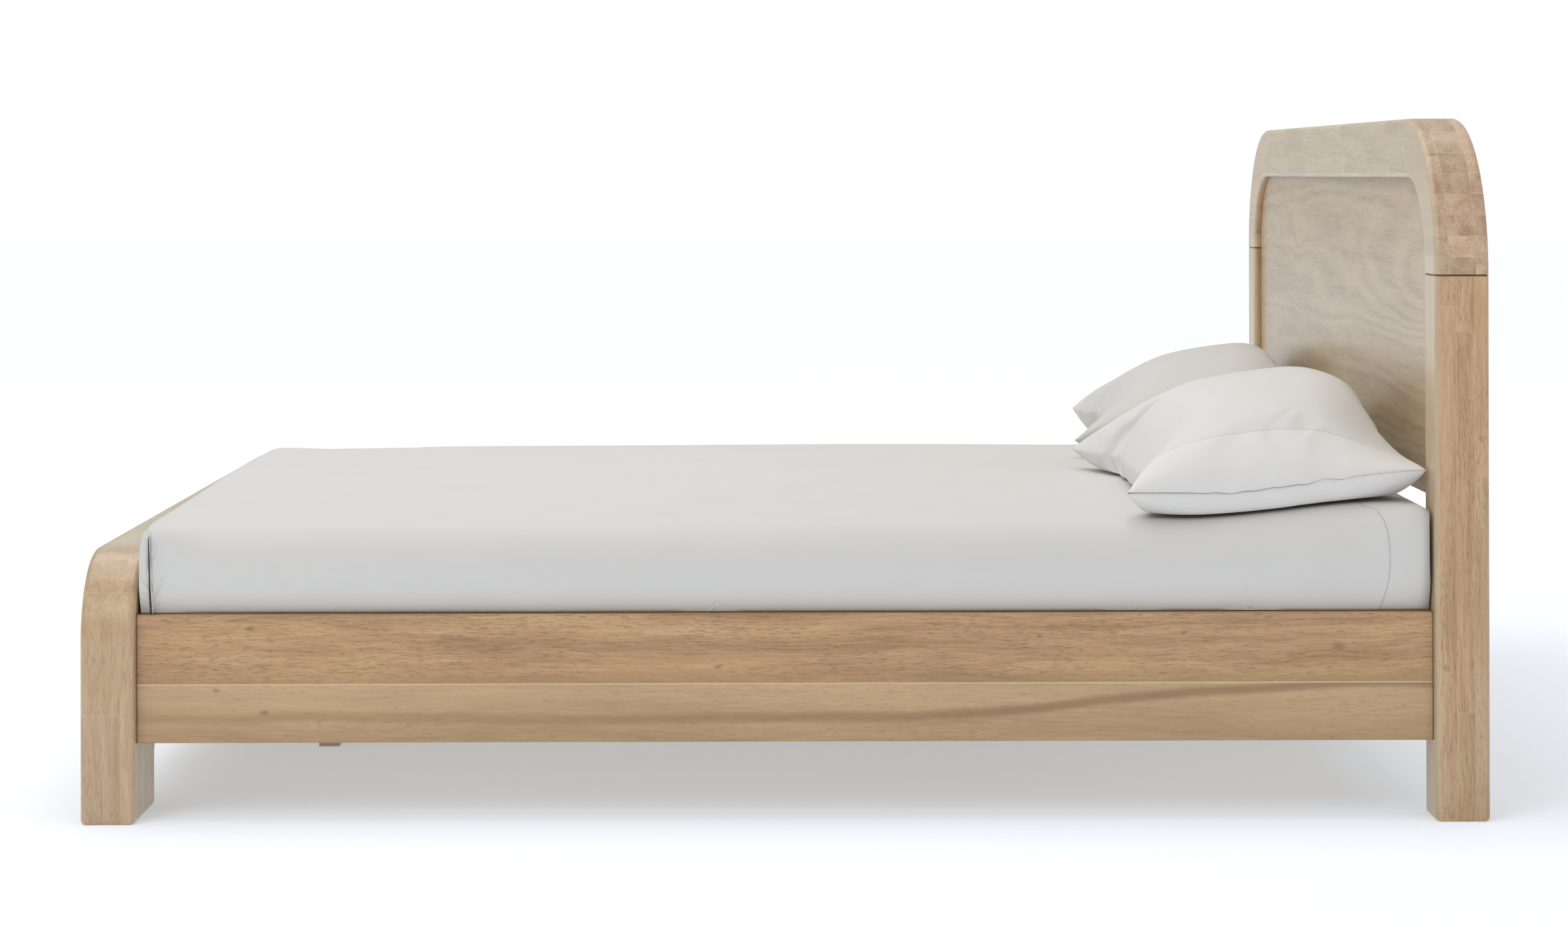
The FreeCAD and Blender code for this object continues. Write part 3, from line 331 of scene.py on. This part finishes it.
# %% Name the finishes
# Clear satin lacquer on glued-up light hardwood. Staves are 29 mm through the post and 88 mm across.
POST_TONES = ("#d2b690", "#c29f76", "#a5805a", "#7c573a")
POST = wood("lacquered acacia, glued staves", "z", POST_TONES, stave=(0.088, 0.0287, 0.60),
            start=(0.0, 0.0265), tint=0.35, streak=0.6, pores=0.45, lines=0.2, extra=board_paint)
# The foot's legs are glued from wide blocks, paler than the posts.
LEG_TONES = ("#cdb592", "#bfa17b", "#a6875f", "#82644a")
LEG = wood("lacquered acacia, wide blocks", "z", LEG_TONES, stave=(0.055, 0.089, 0.26), start=(0.0, 0.020),
           tint=0.3, streak=0.45, pores=0.35, lines=0.25, coat=0.8)
# The corners are butcher block: rows 33 mm high, blocks 43 mm wide, fibres across the bed's width.
CORNER_TONES = ("#d4ba9b", "#c1a384", "#a38364", "#7c5e45")
CORNER = wood("lacquered acacia, butcher block", "y", CORNER_TONES, stave=(0.043, 0.033, 0.19),
              start=(0.016, 0.0), tint=0.62, streak=0.65, pores=0.4, lines=0.3, extra=board_paint)
RAIL_TONES = ("#cfab7c", "#b99166", "#94704a", "#755436")
RAIL = wood("lacquered acacia, wide boards", "x", RAIL_TONES, tint=0.0, streak=0.5, pores=0.45,
            extra=rail_paint)
# These tones are paler and greener than the posts': a painted reflection of the white surround, as the
# rails' faces towards the bed show it.
TOP_TONES = ("#cfc1a5", "#c0b092", "#a79373", "#84694c")
TOP_RAIL = wood("lacquered acacia, finger-jointed rail", "y", TOP_TONES, stave=(0.043, 0.033, 0.22),
                start=(0.016, 0.0), tint=0.25, streak=0.35, pores=0.25, lines=0.15)
SKIN = wood("lacquered acacia, wide strips", "y", ("#cdb89a", "#bea584", "#a48b69", "#82684c"),
            stave=(0.20, 0.075, 0.60), tint=0.3, streak=0.4, pores=0.3, lines=0.15)
# The panel is a broad sheet of veneer with a swirling flame figure.
PANEL_TONES = ("#c1ad8d", "#b29c79", "#998162", "#80654b")
PANEL = wood("lacquered veneer", "y", PANEL_TONES, tint=0.0, streak=0.32, pores=0.25, rings=0.3)
# Slats are planed poplar and beams planed pine, both left bare: paler, dull and without a coat.
DECK_TONES = ("#e6d3ab", "#d9c196", "#bf9f70", "#9d7c52")
SLAT = wood("planed poplar, bare", "y", DECK_TONES, stave=(0.153, 0.4, 9.0), tint=0.7, streak=0.5,
            pores=0.25, lines=0.0, coat=0.0, roughness=0.7)
BEAM = wood("planed pine, bare", "x", DECK_TONES, tint=0.3, streak=0.7, pores=0.2, coat=0.0,
            roughness=0.7)
DOWEL = wood("beech", "z", ("#dbb68c", "#cda276", "#b58358", "#8f6340"), tint=0.2, streak=0.4,
             pores=0.5, coat=0.0, roughness=0.65)
print(len(bpy.data.materials), "materials so far")

# %% [markdown]
# ## Zinc-plated steel
#
# Brackets, cradles, bolts and screws are steel with a thin layer of zinc, which makes them a cool pale
# grey with faint cloudy spangles. A metal takes its colour from its reflection, so the base colour is
# the reflection's colour and metallic is 1.

# %% Steel material
steel = bpy.data.materials.new("zinc-plated steel")
steel.use_nodes = True
tree = steel.node_tree
tree.nodes.clear()
place = add(tree, "TexCoord", out="Object")
cloud = add(tree, "TexNoise", {0: place, "Scale": 90.0, "Detail": 3.0})
grey = add(tree, "Mix", {0: cloud, 6: tone("#b9bbbb"), 7: tone("#d5d6d3")}, out=2, data_type="RGBA")
rough = add(tree, "MapRange", {0: cloud, 1: 0.3, 2: 0.7, 3: 0.28, 4: 0.45})
shader = add(tree, "BsdfPrincipled", {"Base Color": grey, "Metallic": 1.0, "Roughness": rough})
add(tree, "OutputMaterial", {"Surface": shader}, out=None)

# %% Give every hard part its finish
FINISHES = (
    ("headboard_post", POST), ("headboard_corner", CORNER), ("headboard_top", TOP_RAIL),
    ("headboard_panel", PANEL), ("headboard_stretcher", TOP_RAIL), ("headboard_dowels", DOWEL),
    ("footboard_leg", LEG), ("footboard_corner", LEG), ("footboard_dowels", DOWEL),
    ("footboard_top", TOP_RAIL), ("footboard", SKIN), ("side_rail", RAIL),
    ("slat_screws", steel), ("slat_ledger", BEAM), ("slat", SLAT),
    ("centre_beam", BEAM), ("beam_cradle", steel), ("cross_bearer", SLAT),
    ("support_leg", POST), ("corner_b", steel), ("bracket_screws", steel), ("ledger_screws", steel),
)
for name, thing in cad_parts.items():
    finish = next((finish for start, finish in FINISHES if name.startswith(start)), None)
    if finish:
        thing.data.materials.clear()
        thing.data.materials.append(finish)
print(sum(1 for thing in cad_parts.values() if thing.data.materials), "nodes finished")

# %% [markdown]
# ## Cotton sateen
#
# The bedding is white cotton in a sateen weave. Most threads float on the surface, so it is smooth with a
# soft gleam, and the weave is only just visible. Its threads are about 0.2 mm apart, which is too fine to
# see at this size, so they are drawn 1.5 mm apart and very faint. The pattern follows the cloth through
# its own flat coordinates, which are kept in a UV map measured in metres.


# %% Cloth material
def shaded_stitching_at(tree, off, color, code, strength):
    """Draws a row of stitching, about 2 mm wide, where off is 0, darker than the cloth as painted shade."""
    off = add(tree, "Math", {0: off}, operation="ABSOLUTE")
    # Painted shade: the stitching is drawn darker than the cloth, as in a seam's groove.
    stitch = add(tree, "MapRange", {0: off, 1: 0.5 * MM, 2: 1.7 * MM, 3: strength, 4: 0.0})
    return add(tree, "Mix", {0: stitch, 6: color, 7: tone(code, 0.55)}, out=2, data_type="RGBA")


def hemmed(tree, flat, color, code):
    """A doubled hem, 75 mm wide, at the pillowcase's open end, painted a little lighter as painted light."""
    hem = 0.075 - CASE_LENGTH / 2
    across = add(tree, "SeparateXYZ", {0: flat}, out=1)
    # Painted light: the hem's raised band is painted a little lighter than the rest of the case.
    doubled = add(tree, "MapRange", {0: across, 1: hem - 1.0 * MM, 2: hem, 3: 1.0, 4: 0.0})
    color = add(tree, "Mix", {0: doubled, 6: color, 7: tone(code, 1.05)}, out=2, data_type="RGBA")
    off = add(tree, "Math", {0: across, 1: hem}, operation="SUBTRACT")
    return shaded_stitching_at(tree, off, color, code, 0.35)


# The fitted sheet's corner seam near the head: its place along the bed and its bow. On the cloth, the
# side's upper and lower ends lie this far from the middle line.
SEAM_AT, SEAM_BOW = 0.9425, 0.015
SIDE_UPPER, SIDE_LOWER = 0.985, 1.145


def seamed(tree, flat, color, code):
    """The sewn corner seams near the sheet's head end, which bow towards the head, and the foot fold's
    painted shadow.
    """
    apart = add(tree, "SeparateXYZ", {0: flat}, out=None)
    side = add(tree, "Math", {0: apart.outputs[1]}, operation="ABSOLUTE")
    down = add(tree, "MapRange", {0: side, 1: SIDE_UPPER, 2: SIDE_LOWER, 3: 0.0, 4: math.pi})
    bow = add(tree, "Math", {0: down}, operation="SINE")
    line = add(tree, "Math", {0: bow, 1: SEAM_BOW, 2: SEAM_AT}, operation="MULTIPLY_ADD")
    off = add(tree, "Math", {0: apart.outputs[0], 1: line}, operation="SUBTRACT")
    shown = add(tree, "MapRange", {0: side, 1: 0.955, 2: 0.975, 3: 0.02, 4: 0.0})
    off = add(tree, "Math", {0: off, 1: shown}, operation="ADD")
    color = shaded_stitching_at(tree, off, color, code, 0.6)
    # The fold at the foot gets a painted shadow: a dark line, wider further down, as if it stood open.
    off = add(tree, "Math", {0: apart.outputs[0], 1: FOOT_FOLD}, operation="SUBTRACT")
    off = add(tree, "Math", {0: off}, operation="ABSOLUTE")
    width = add(tree, "MapRange", {0: side, 1: 1.0, 2: 1.14, 3: 0.4 * MM, 4: 1.9 * MM})
    painted_fold_shadow = add(tree, "Math", {0: off, 1: width}, operation="LESS_THAN")
    below = add(tree, "Math", {0: side, 1: 1.012}, operation="GREATER_THAN")
    dark = add(tree, "Math", {0: painted_fold_shadow, 1: below}, operation="MULTIPLY")
    return add(tree, "Mix", {0: dark, 6: color, 7: tone("#3b3937")}, out=2, data_type="RGBA")


def cotton(name, code, thread=1.5 * MM, extra=None):
    """A sateen of one colour. extra(tree, flat coordinates, colour, code) may draw stitching and painted
    shade on it.
    """
    material = bpy.data.materials.new(name)
    material.use_nodes = True
    tree = material.node_tree
    tree.nodes.clear()
    flat = add(tree, "UVMap", uv_map="cloth")
    waves = []
    for direction in ("X", "Y"):
        waves.append(add(tree, "TexWave", {0: flat, "Scale": 0.314 / thread, "Distortion": 0.6,
                                           "Detail": 1.0, "Detail Scale": 3.0},
                         out=1, bands_direction=direction))
    weave = add(tree, "Math", {0: waves[0], 1: waves[1]}, operation="MULTIPLY")
    place = add(tree, "TexCoord", out="Object")
    slub = add(tree, "TexNoise", {0: place, "Scale": 9.0, "Detail": 3.0})
    base = add(tree, "Mix", {0: slub, 6: tone(code, 0.955), 7: tone(code, 1.02)}, out=2, data_type="RGBA")
    color = add(tree, "Mix", {0: weave, 6: base, 7: tone(code, 0.97)}, out=2, data_type="RGBA")
    if extra:
        color = extra(tree, flat, color, code)
    crumple = add(tree, "TexNoise", {0: place, "Scale": 26.0, "Detail": 3.0})
    fine = add(tree, "Bump", {"Height": weave, "Distance": 0.05 * MM, "Strength": 0.35})
    soft = add(tree, "Bump", {"Height": crumple, "Distance": 1.2 * MM, "Strength": 0.25, "Normal": fine})
    shader = add(tree, "BsdfPrincipled", {
        "Base Color": color, "Roughness": 0.72, "IOR": 1.46, "Sheen Weight": 0.15,
        "Sheen Roughness": 0.4, "Normal": soft})
    add(tree, "OutputMaterial", {"Surface": shader}, out=None)
    return material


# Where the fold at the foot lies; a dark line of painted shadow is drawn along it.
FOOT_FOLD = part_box("mattress")[0][0] + 0.0185
SHEET = cotton("cotton sateen sheet", "#d6d4d0", extra=seamed)
PILLOW_LOW, PILLOW_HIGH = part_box("pillow_right")
CASE_WIDTH = PILLOW_HIGH[0] - PILLOW_LOW[0] + 0.030
CASE_LENGTH = PILLOW_HIGH[1] - PILLOW_LOW[1] + 0.060
# The far pillow's case is the same cotton, painted darker as painted shade.
FAR_CASE_IN_PAINTED_SHADE = cotton("cotton sateen pillowcase, painted in shade", "#cfcdc9", extra=hemmed)
CASE = cotton("cotton sateen pillowcase", "#dbd9d6", extra=hemmed)
TICKING = cotton("mattress ticking", "#d9d6cf", 3 * MM)


# %% Helpers for new pieces
def finish_piece(name, bm, material):
    """Turns a bmesh into an object at the origin."""
    mesh = bpy.data.meshes.new(name)
    bm.to_mesh(mesh)
    bm.free()
    for face in mesh.polygons:
        face.use_smooth = True
    mesh.materials.append(material)
    piece = bpy.data.objects.new(name, mesh)
    bpy.context.collection.objects.link(piece)
    return piece


def ease(value, low, high):
    """0 below low, 1 above high, and a smooth ramp between."""
    share = min(max((value - low) / (high - low), 0.0), 1.0)
    return share * share * (3 - 2 * share)


# %% [markdown]
# ## The fitted sheet
#
# A fitted sheet is a flat piece of cotton with sewn corners, pulled over the mattress and tucked under it.
# It is shaped as a real one is: a flat grid the size of the mattress's top, whose rim is extruded down the
# sides, in over the side rails and under the mattress. Then the top gets its crown, the edges their
# rounding, the sides their bulge, and the foot corners their folds.

# %% Sheet, flat top and sides
bed_low, bed_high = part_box("mattress")
HALF_LENGTH = bed_high[0]
HALF_WIDTH = bed_high[1]
TOP = bed_high[2]
RAIL_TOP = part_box("side_rail_right")[1][2]
RAIL_INNER = -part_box("side_rail_right")[1][1]
STEP = 0.016
TUCK = 0.160
# Rings down the side: height, and how far in from the widest place along the sides and the ends.
RINGS = ((0.455, 0.0, 0.0), (0.445, 0.0, 0.0), (0.432, 0.0, 0.0), (0.418, 0.0, 0.0), (0.404, 0.001, 0.0),
         (0.390, 0.003, 0.0), (0.376, 0.0065, 0.0), (0.362, 0.0112, 0.0), (0.350, 0.0155, 0.0),
         (0.341, 0.0190, 0.0), (0.335, 0.0208, 0.0), (RAIL_TOP + 0.0012, 0.0222, 0.0),
         (RAIL_TOP + 0.0008, HALF_WIDTH - RAIL_INNER + 0.003, 0.001), (0.310, 0.032, 0.001),
         (0.262, 0.033, 0.002), (bed_low[2] + 0.003, 0.036, 0.004),
         (bed_low[2] + 0.0005, 0.060, 0.028), (bed_low[2] + 0.0005, TUCK, TUCK - 0.032))


def sheet_grid():
    """The flat top, then one extruded ring after another."""
    bm = bmesh.new()
    across, along = round(HALF_WIDTH * 2 / STEP), round(HALF_LENGTH * 2 / STEP)
    bmesh.ops.create_grid(bm, x_segments=along, y_segments=across, size=1.0)
    bmesh.ops.scale(bm, vec=(HALF_LENGTH, HALF_WIDTH, 1.0), verts=bm.verts)
    bmesh.ops.translate(bm, vec=(0, 0, TOP), verts=bm.verts)
    rim = [edge for edge in bm.edges if edge.is_boundary]
    side, end = 0.0, 0.0
    for height, side_in, end_in in RINGS:
        made = bmesh.ops.extrude_edge_only(bm, edges=rim)["geom"]
        rim = [item for item in made if isinstance(item, bmesh.types.BMEdge) and item.is_boundary]
        ring = {vert for edge in rim for vert in edge.verts}
        factors = ((HALF_LENGTH - end_in) / (HALF_LENGTH - end),
                   (HALF_WIDTH - side_in) / (HALF_WIDTH - side), 1)
        bmesh.ops.scale(bm, vec=factors, verts=list(ring))
        for vert in ring:
            vert.co.z = height
        side, end = side_in, end_in
    return bm


def lay_flat(bm):
    """Writes the cloth's flat coordinates, in metres, into a UV map."""
    layer = bm.loops.layers.uv.new("cloth")
    for face in bm.faces:
        normal = face.normal
        for loop in face.loops:
            x, y, z = loop.vert.co
            if abs(normal.z) > 0.7:
                loop[layer].uv = (x, y)
            elif abs(normal.y) > abs(normal.x):
                loop[layer].uv = (x, math.copysign(HALF_WIDTH + TOP - z, y))
            else:
                loop[layer].uv = (math.copysign(HALF_LENGTH + TOP - z, x), y)


def crown(x, y):
    """How far the mattress's top stands over its nominal height."""
    slope = 0.004 - 0.010 * ease(-y, 0.0, 0.9) - 0.040 * ease(y, 0.3, 1.0)
    slope += (0.006 * ease(-x, 0.9, 1.0) * (1 - ease(y, 0.4, 0.8))
              - 0.012 * ease(-x, 0.7, 1.0) * ease(y, 0.75, 0.95))
    middle = 0.006 * (1 - (x / HALF_LENGTH) ** 4)
    rise = 0.034 * ease(x, 0.62, 1.0)
    wave = noise.noise(Vector((x * 1.7, y * 1.7, 3.1))) * 0.003
    return slope + middle + rise + wave


def roll(flat, high, reach, top, width, drop):
    """Rounds one edge in its own plane. flat is the distance from the middle, reach is where the edge is."""
    out, up = (flat - reach) / width + 1, (high - top) / drop + 1
    size = math.hypot(out, up)
    if out <= 0 or up <= 0 or size <= 1:
        return flat, high
    return reach + (out / size - 1) * width, top + (up / size - 1) * drop


def soften(point):
    """Rounds the slab's upper edges, the sides more than the ends, and its upright corners a little."""
    x, y, z = abs(point.x), abs(point.y), point.z
    box = 1 - 0.65 * ease(x, 0.90, 1.01)
    y, z = roll(y, z, HALF_WIDTH, TOP, 0.065 * box, 0.080 * box)
    fold = ease(y, 0.88, 0.98) * (point.x < 0)
    x, z = roll(x, z, HALF_LENGTH, TOP, 0.012 + 0.007 * fold, 0.022 + 0.045 * fold)
    x, y = roll(x, y, HALF_LENGTH, HALF_WIDTH, 0.008, 0.010)
    return Vector((math.copysign(x, point.x), math.copysign(y, point.y), z))


sheet_mesh = sheet_grid()
sheet_mesh.normal_update()
lay_flat(sheet_mesh)
print(len(sheet_mesh.verts), "points in the sheet")


# %% [markdown]
# ## Folds in the sheet
#
# At the foot the cloth is folded like a parcel, 18 mm from the end, with small creases that run into the
# fold. The fold stands out from the side as a thin ridge, and a dark line of painted shadow is drawn on it.
# The seam near the head is only drawn, as a line of painted shade. A crease needs points close together, so
# the mesh is divided there first, and then moved along the line of the fold.

# %% Fold lines
CREASE_DEPTH = 1.6
# Creases on both sides: both ends as (along, height), half width and depth, in metres.
CREASES = (
    ((FOOT_FOLD + 0.004, 0.352), (FOOT_FOLD + 0.030, 0.408), 0.0035, 0.0030),
    ((FOOT_FOLD + 0.003, 0.338), (FOOT_FOLD + 0.016, 0.352), 0.0030, 0.0030),
    ((FOOT_FOLD + 0.006, 0.420), (FOOT_FOLD + 0.014, 0.452), 0.0035, 0.0016),
    ((FOOT_FOLD - 0.003, 0.372), (FOOT_FOLD - 0.018, 0.396), 0.0025, 0.0018),
    ((FOOT_FOLD - 0.003, 0.356), (FOOT_FOLD - 0.019, 0.366), 0.0025, 0.0018),
    ((FOOT_FOLD - 0.003, 0.343), (FOOT_FOLD - 0.018, 0.352), 0.0025, 0.0018),
    ((-0.116, 0.332), (-0.108, 0.347), 0.0030, 0.0025),
    ((0.556, 0.332), (0.549, 0.346), 0.0030, 0.0025),
    ((0.738, 0.336), (0.731, 0.376), 0.0030, 0.0018),
)


def near_crease(x, z, reach):
    """Is a point near one of the folds?"""
    if abs(x - FOOT_FOLD) < reach + 0.012:
        return True
    for start, end, *_ in CREASES[6:]:
        if abs(x - start[0]) < reach and z < max(start[1], end[1]) + reach:
            return True
    return False


def divide_near_folds(bm, reach, cuts):
    chosen = set()
    for face in bm.faces:
        middle = face.calc_center_median()
        on_side = abs(middle.y) > HALF_WIDTH - 0.03 and RAIL_TOP < middle.z < TOP
        if on_side and near_crease(middle.x, middle.z, reach):
            chosen.update(face.edges)
    bmesh.ops.subdivide_edges(bm, edges=list(chosen), cuts=cuts, use_grid_fill=True)


def line_distance(x, z, start, end):
    """How far a point is from a line between two points, and how far along it, from 0 to 1."""
    run = Vector((end[0] - start[0], end[1] - start[1]))
    share = ((x - start[0]) * run.x + (z - start[1]) * run.y) / run.length_squared
    held = min(max(share, 0.0), 1.0)
    spot = Vector(start) + run * held
    return (Vector((x, z)) - spot).length, held


def fold_depth(x, z):
    """How deep the foot fold and the creases are at a place. The lips beside the fold are raised."""
    depth = 0.0
    width = 0.0012 + 0.0014 * ease(RAIL_TOP + 0.10 - z, 0.0, 0.10)
    off = abs(x - FOOT_FOLD)
    inside = ease(TOP - 0.004 - z, 0.0, 0.02)
    depth += 0.014 * inside * (1 - ease(off, width * 0.5, width * 1.5))
    depth -= 0.0016 * inside * (1 - ease(abs(off - 0.006), 0.0, 0.006))
    for start, end, half, deep in CREASES:
        off, along = line_distance(x, z, start, end)
        depth += CREASE_DEPTH * deep * (1 - ease(off, 0.0, half)) * (1 - along * 0.75)
    return depth


divide_near_folds(sheet_mesh, 0.040, 3)
divide_near_folds(sheet_mesh, 0.006, 3)
print(len(sheet_mesh.verts), "points after dividing")


# %% Shape the sheet
def shape_sheet(bm):
    for vert in bm.verts:
        x, y, z = vert.co
        placed = soften(vert.co) if z > RAIL_TOP + 0.003 else vert.co.copy()
        placed.z += crown(x, y) * ease(z, RAIL_TOP + 0.04, TOP)
        if abs(y) > HALF_WIDTH - 0.025 and z > RAIL_TOP:
            bulge = 0.003 * math.sin(math.pi * min(max((z - RAIL_TOP) / 0.15, 0.0), 1.0))
            ripple = noise.noise(Vector((x * 3.0, z * 5.0, y))) * 0.0018
            # copysign keeps only the size, so a dent deeper than the bulge stands out as a ridge.
            placed.y += math.copysign(bulge + ripple - fold_depth(x, z), y)
        vert.co = placed


shape_sheet(sheet_mesh)
bmesh.ops.recalc_face_normals(sheet_mesh, faces=sheet_mesh.faces)
sheet = finish_piece("fitted_sheet", sheet_mesh, SHEET)
print("fitted sheet", [round(size, 3) for size in sheet.dimensions])

# %% [markdown]
# ## The mattress under the sheet
#
# Under the sheet lies the mattress itself, a sprung and padded slab in ticking. It shows only where the
# sheet leaves the middle of its underside bare, so it is the sheet's shape, closed below and a little
# smaller.


# %% Mattress
def mattress_body():
    bm = bmesh.new()
    bmesh.ops.create_cube(bm, size=1.0)
    low, high = bed_low[2] + 0.002, TOP - 0.004
    bmesh.ops.scale(bm, vec=(HALF_LENGTH * 2 - 0.012, (RAIL_INNER - 0.007) * 2, high - low), verts=bm.verts)
    bmesh.ops.translate(bm, vec=(0, 0, (low + high) / 2), verts=bm.verts)
    bmesh.ops.bevel(bm, geom=list(bm.edges), offset=0.030, segments=4, profile=0.5, affect="EDGES",
                    material=-1)
    long_edges = [edge for edge in bm.edges if edge.calc_length() > 0.5]
    bmesh.ops.subdivide_edges(bm, edges=long_edges, cuts=24, use_grid_fill=True)
    layer = bm.loops.layers.uv.new("cloth")
    for vert in bm.verts:
        x, y, z = vert.co
        if z > 0.4:
            vert.co.z += crown(x, y) - 0.006
    for face in bm.faces:
        for loop in face.loops:
            loop[layer].uv = (loop.vert.co.x, loop.vert.co.y + loop.vert.co.z)
    return finish_piece("mattress_body", bm, TICKING)


mattress = mattress_body()
print("mattress", [round(size, 3) for size in mattress.dimensions])

# %% [markdown]
# ## Pillows
#
# A pillow is two flat pieces of cloth sewn together at their edge and filled. When the filling pushes them
# apart, the edges pull in between the corners and small puckers form along the seam. A cloth simulation
# does the same thing: a flat closed shell is blown up by an even pressure for twenty frames. It comes out
# a few millimetres different each time, so it is scaled to a set size. Then the pillow is laid down: its
# outline is the shell's, and its height is mostly a formula with a share of the shell's, which gives it
# a full open end. It is flattened where it rests on the mattress, leaned on the headboard, and its open
# end becomes the case's two lips.

# %% Blow up a flat pillow
PILLOW_FRAMES = 20


def flat_case(width, length, cell=0.0095):
    """A flat closed shell, thin as two layers of cloth, with its flat coordinates in a UV map."""
    bm = bmesh.new()
    bmesh.ops.create_grid(bm, x_segments=round(width / cell), y_segments=round(length / cell), size=0.5)
    bmesh.ops.scale(bm, vec=(width, length, 1), verts=bm.verts)
    lower = bmesh.ops.extrude_face_region(bm, geom=list(bm.faces))["geom"]
    bmesh.ops.translate(bm, vec=(0, 0, 0.008), verts=[item for item in lower
                                                      if isinstance(item, bmesh.types.BMVert)])
    bmesh.ops.recalc_face_normals(bm, faces=bm.faces)
    layer = bm.loops.layers.uv.new("cloth")
    for face in bm.faces:
        for loop in face.loops:
            loop[layer].uv = loop.vert.co.xy
    return bm


def blow_up(piece, pressure):
    """Runs the cloth simulation and keeps its last frame."""
    scene = bpy.context.scene
    cloth = piece.modifiers.new("cloth", "CLOTH")
    cloth.settings.use_pressure = True
    cloth.settings.uniform_pressure_force = pressure
    cloth.settings.mass = 0.3
    cloth.settings.tension_stiffness = 25
    cloth.settings.compression_stiffness = 25
    cloth.settings.shear_stiffness = 8
    cloth.settings.bending_stiffness = 0.6
    cloth.settings.effector_weights.gravity = 0
    cloth.point_cache.frame_start = 1
    cloth.point_cache.frame_end = PILLOW_FRAMES
    for number in range(1, PILLOW_FRAMES + 1):
        scene.frame_set(number)
    bpy.context.view_layer.objects.active = piece
    bpy.ops.object.modifier_apply(modifier="cloth")
    scene.frame_set(1)


shell = finish_piece("pillow_shell", flat_case(CASE_WIDTH, CASE_LENGTH), CASE)
blow_up(shell, 4.0)
print("blown up to", [round(size, 3) for size in shell.dimensions])


# %% Lay the pillows down
def top_at(x, y):
    """The height of the made-up mattress's top."""
    return soften(Vector((x, y, TOP))).z + crown(x, y)


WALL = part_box("headboard_corner_right")[0][0]
# A pillow's seam is this high over the floor, and rises this much towards the headboard.
SEAM_HEIGHT, SEAM_RISE = 0.514, 0.036
# How far the underside would hang below the seam, and how softly headboard and mattress stop the cloth.
BELLY = 0.095
PRESSED = 0.013
RESTING = 0.012


def lay_pillow(name, side, turn, middle, width, loft, shear, case):
    """Copies the shell and lays it on the mattress. side is -1 for the near pillow, whose open end points
    to -Y; width and loft are its own, turn is in degrees, and shear leans it on the headboard."""
    bm = bmesh.new()
    bm.from_mesh(shell.data)
    layer = bm.loops.layers.uv["cloth"]
    flat = {loop.vert: loop[layer].uv.copy() for face in bm.faces for loop in face.loops}
    size = Vector(shell.dimensions)
    yaw = Matrix.Rotation(math.radians(turn), 4, "Z")
    for vert, place in flat.items():
        u, v = place.x / (CASE_WIDTH / 2), place.y / (CASE_LENGTH / 2)
        x, y, z = vert.co
        # The filling reaches up to the open end, so it is full there and its edge runs straight.
        power = 2.2 if v > 0 else 3.6 if z > 0 else 9.0
        plain = math.sqrt(max(0.0, 1 - abs(v) ** power)) * max(0.0, 1 - abs(u) ** 2.3) ** 0.6
        straight = 0.85 * ease(-v, 0.55, 1.0)
        y += (place.y * size.y / CASE_LENGTH - y) * straight
        x += (place.x * size.x / CASE_WIDTH - x) * straight * 0.5
        share = 0.7 * plain + 0.3 * abs(z) / (size.z / 2)
        if z > 0:
            thin_head = 0.22 * ease(u, 0.1, 0.9)
            thin_end = ease(-v, 0.1, 0.95) * (0.1 + 0.38 * ease(u, -0.2, 0.9))
            share *= 1 - (thin_head + thin_end)
        high = math.copysign(share * (loft if z > 0 else BELLY), z)
        seam = SEAM_HEIGHT + SEAM_RISE * ease(u, -0.4, 1.0)
        x = x * width / size.x + shear * max(high, 0.0) * (1 - 0.5 * ease(-v, 0.7, 1.0))
        spot = yaw @ Vector((x, -side * y, 0)) + Vector(middle)
        # It is pressed against the headboard, and doesn't go through it.
        past = max(0.0, spot.x - WALL + PRESSED + 0.003)
        spot.x += PRESSED * math.tanh(past / PRESSED) - past
        ground = top_at(spot.x, spot.y) + 0.004
        height = seam + high
        if height < ground + RESTING:
            height = ground + RESTING * math.exp((height - ground - RESTING) / RESTING)
        vert.co = (spot.x, spot.y, height)
    if side > 0:
        bmesh.ops.reverse_faces(bm, faces=bm.faces)
    # The open end: its wall is pushed in, which leaves an upper and a lower lip.
    mouth = [face for face in bm.faces
             if all(flat[vert].y < -CASE_LENGTH / 2 + 1e-5 for vert in face.verts)]
    bmesh.ops.inset_region(bm, faces=mouth, thickness=0.0018, depth=-0.012)
    piece = finish_piece(name, bm, case)
    finer = piece.modifiers.new("finer", "SUBSURF")
    finer.levels = 1
    finer.render_levels = 1
    return piece


near_pillow = lay_pillow("pillow_near", -1, 0.5, (0.783, -0.528, 0), 0.485, 0.162, 0.42, CASE)
far_pillow = lay_pillow("pillow_far", 1, -5.0, (0.818, 0.520, 0), 0.440, 0.150, 0.55, FAR_CASE_IN_PAINTED_SHADE)
bpy.data.objects.remove(shell)
print("pillows laid")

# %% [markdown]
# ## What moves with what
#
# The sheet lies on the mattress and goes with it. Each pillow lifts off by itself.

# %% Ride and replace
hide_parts("mattress")
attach(mattress, "mattress")
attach(sheet, "mattress")
for piece, body in ((near_pillow, "pillow_right"), (far_pillow, "pillow_left")):
    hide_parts(body)
    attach(piece, body)
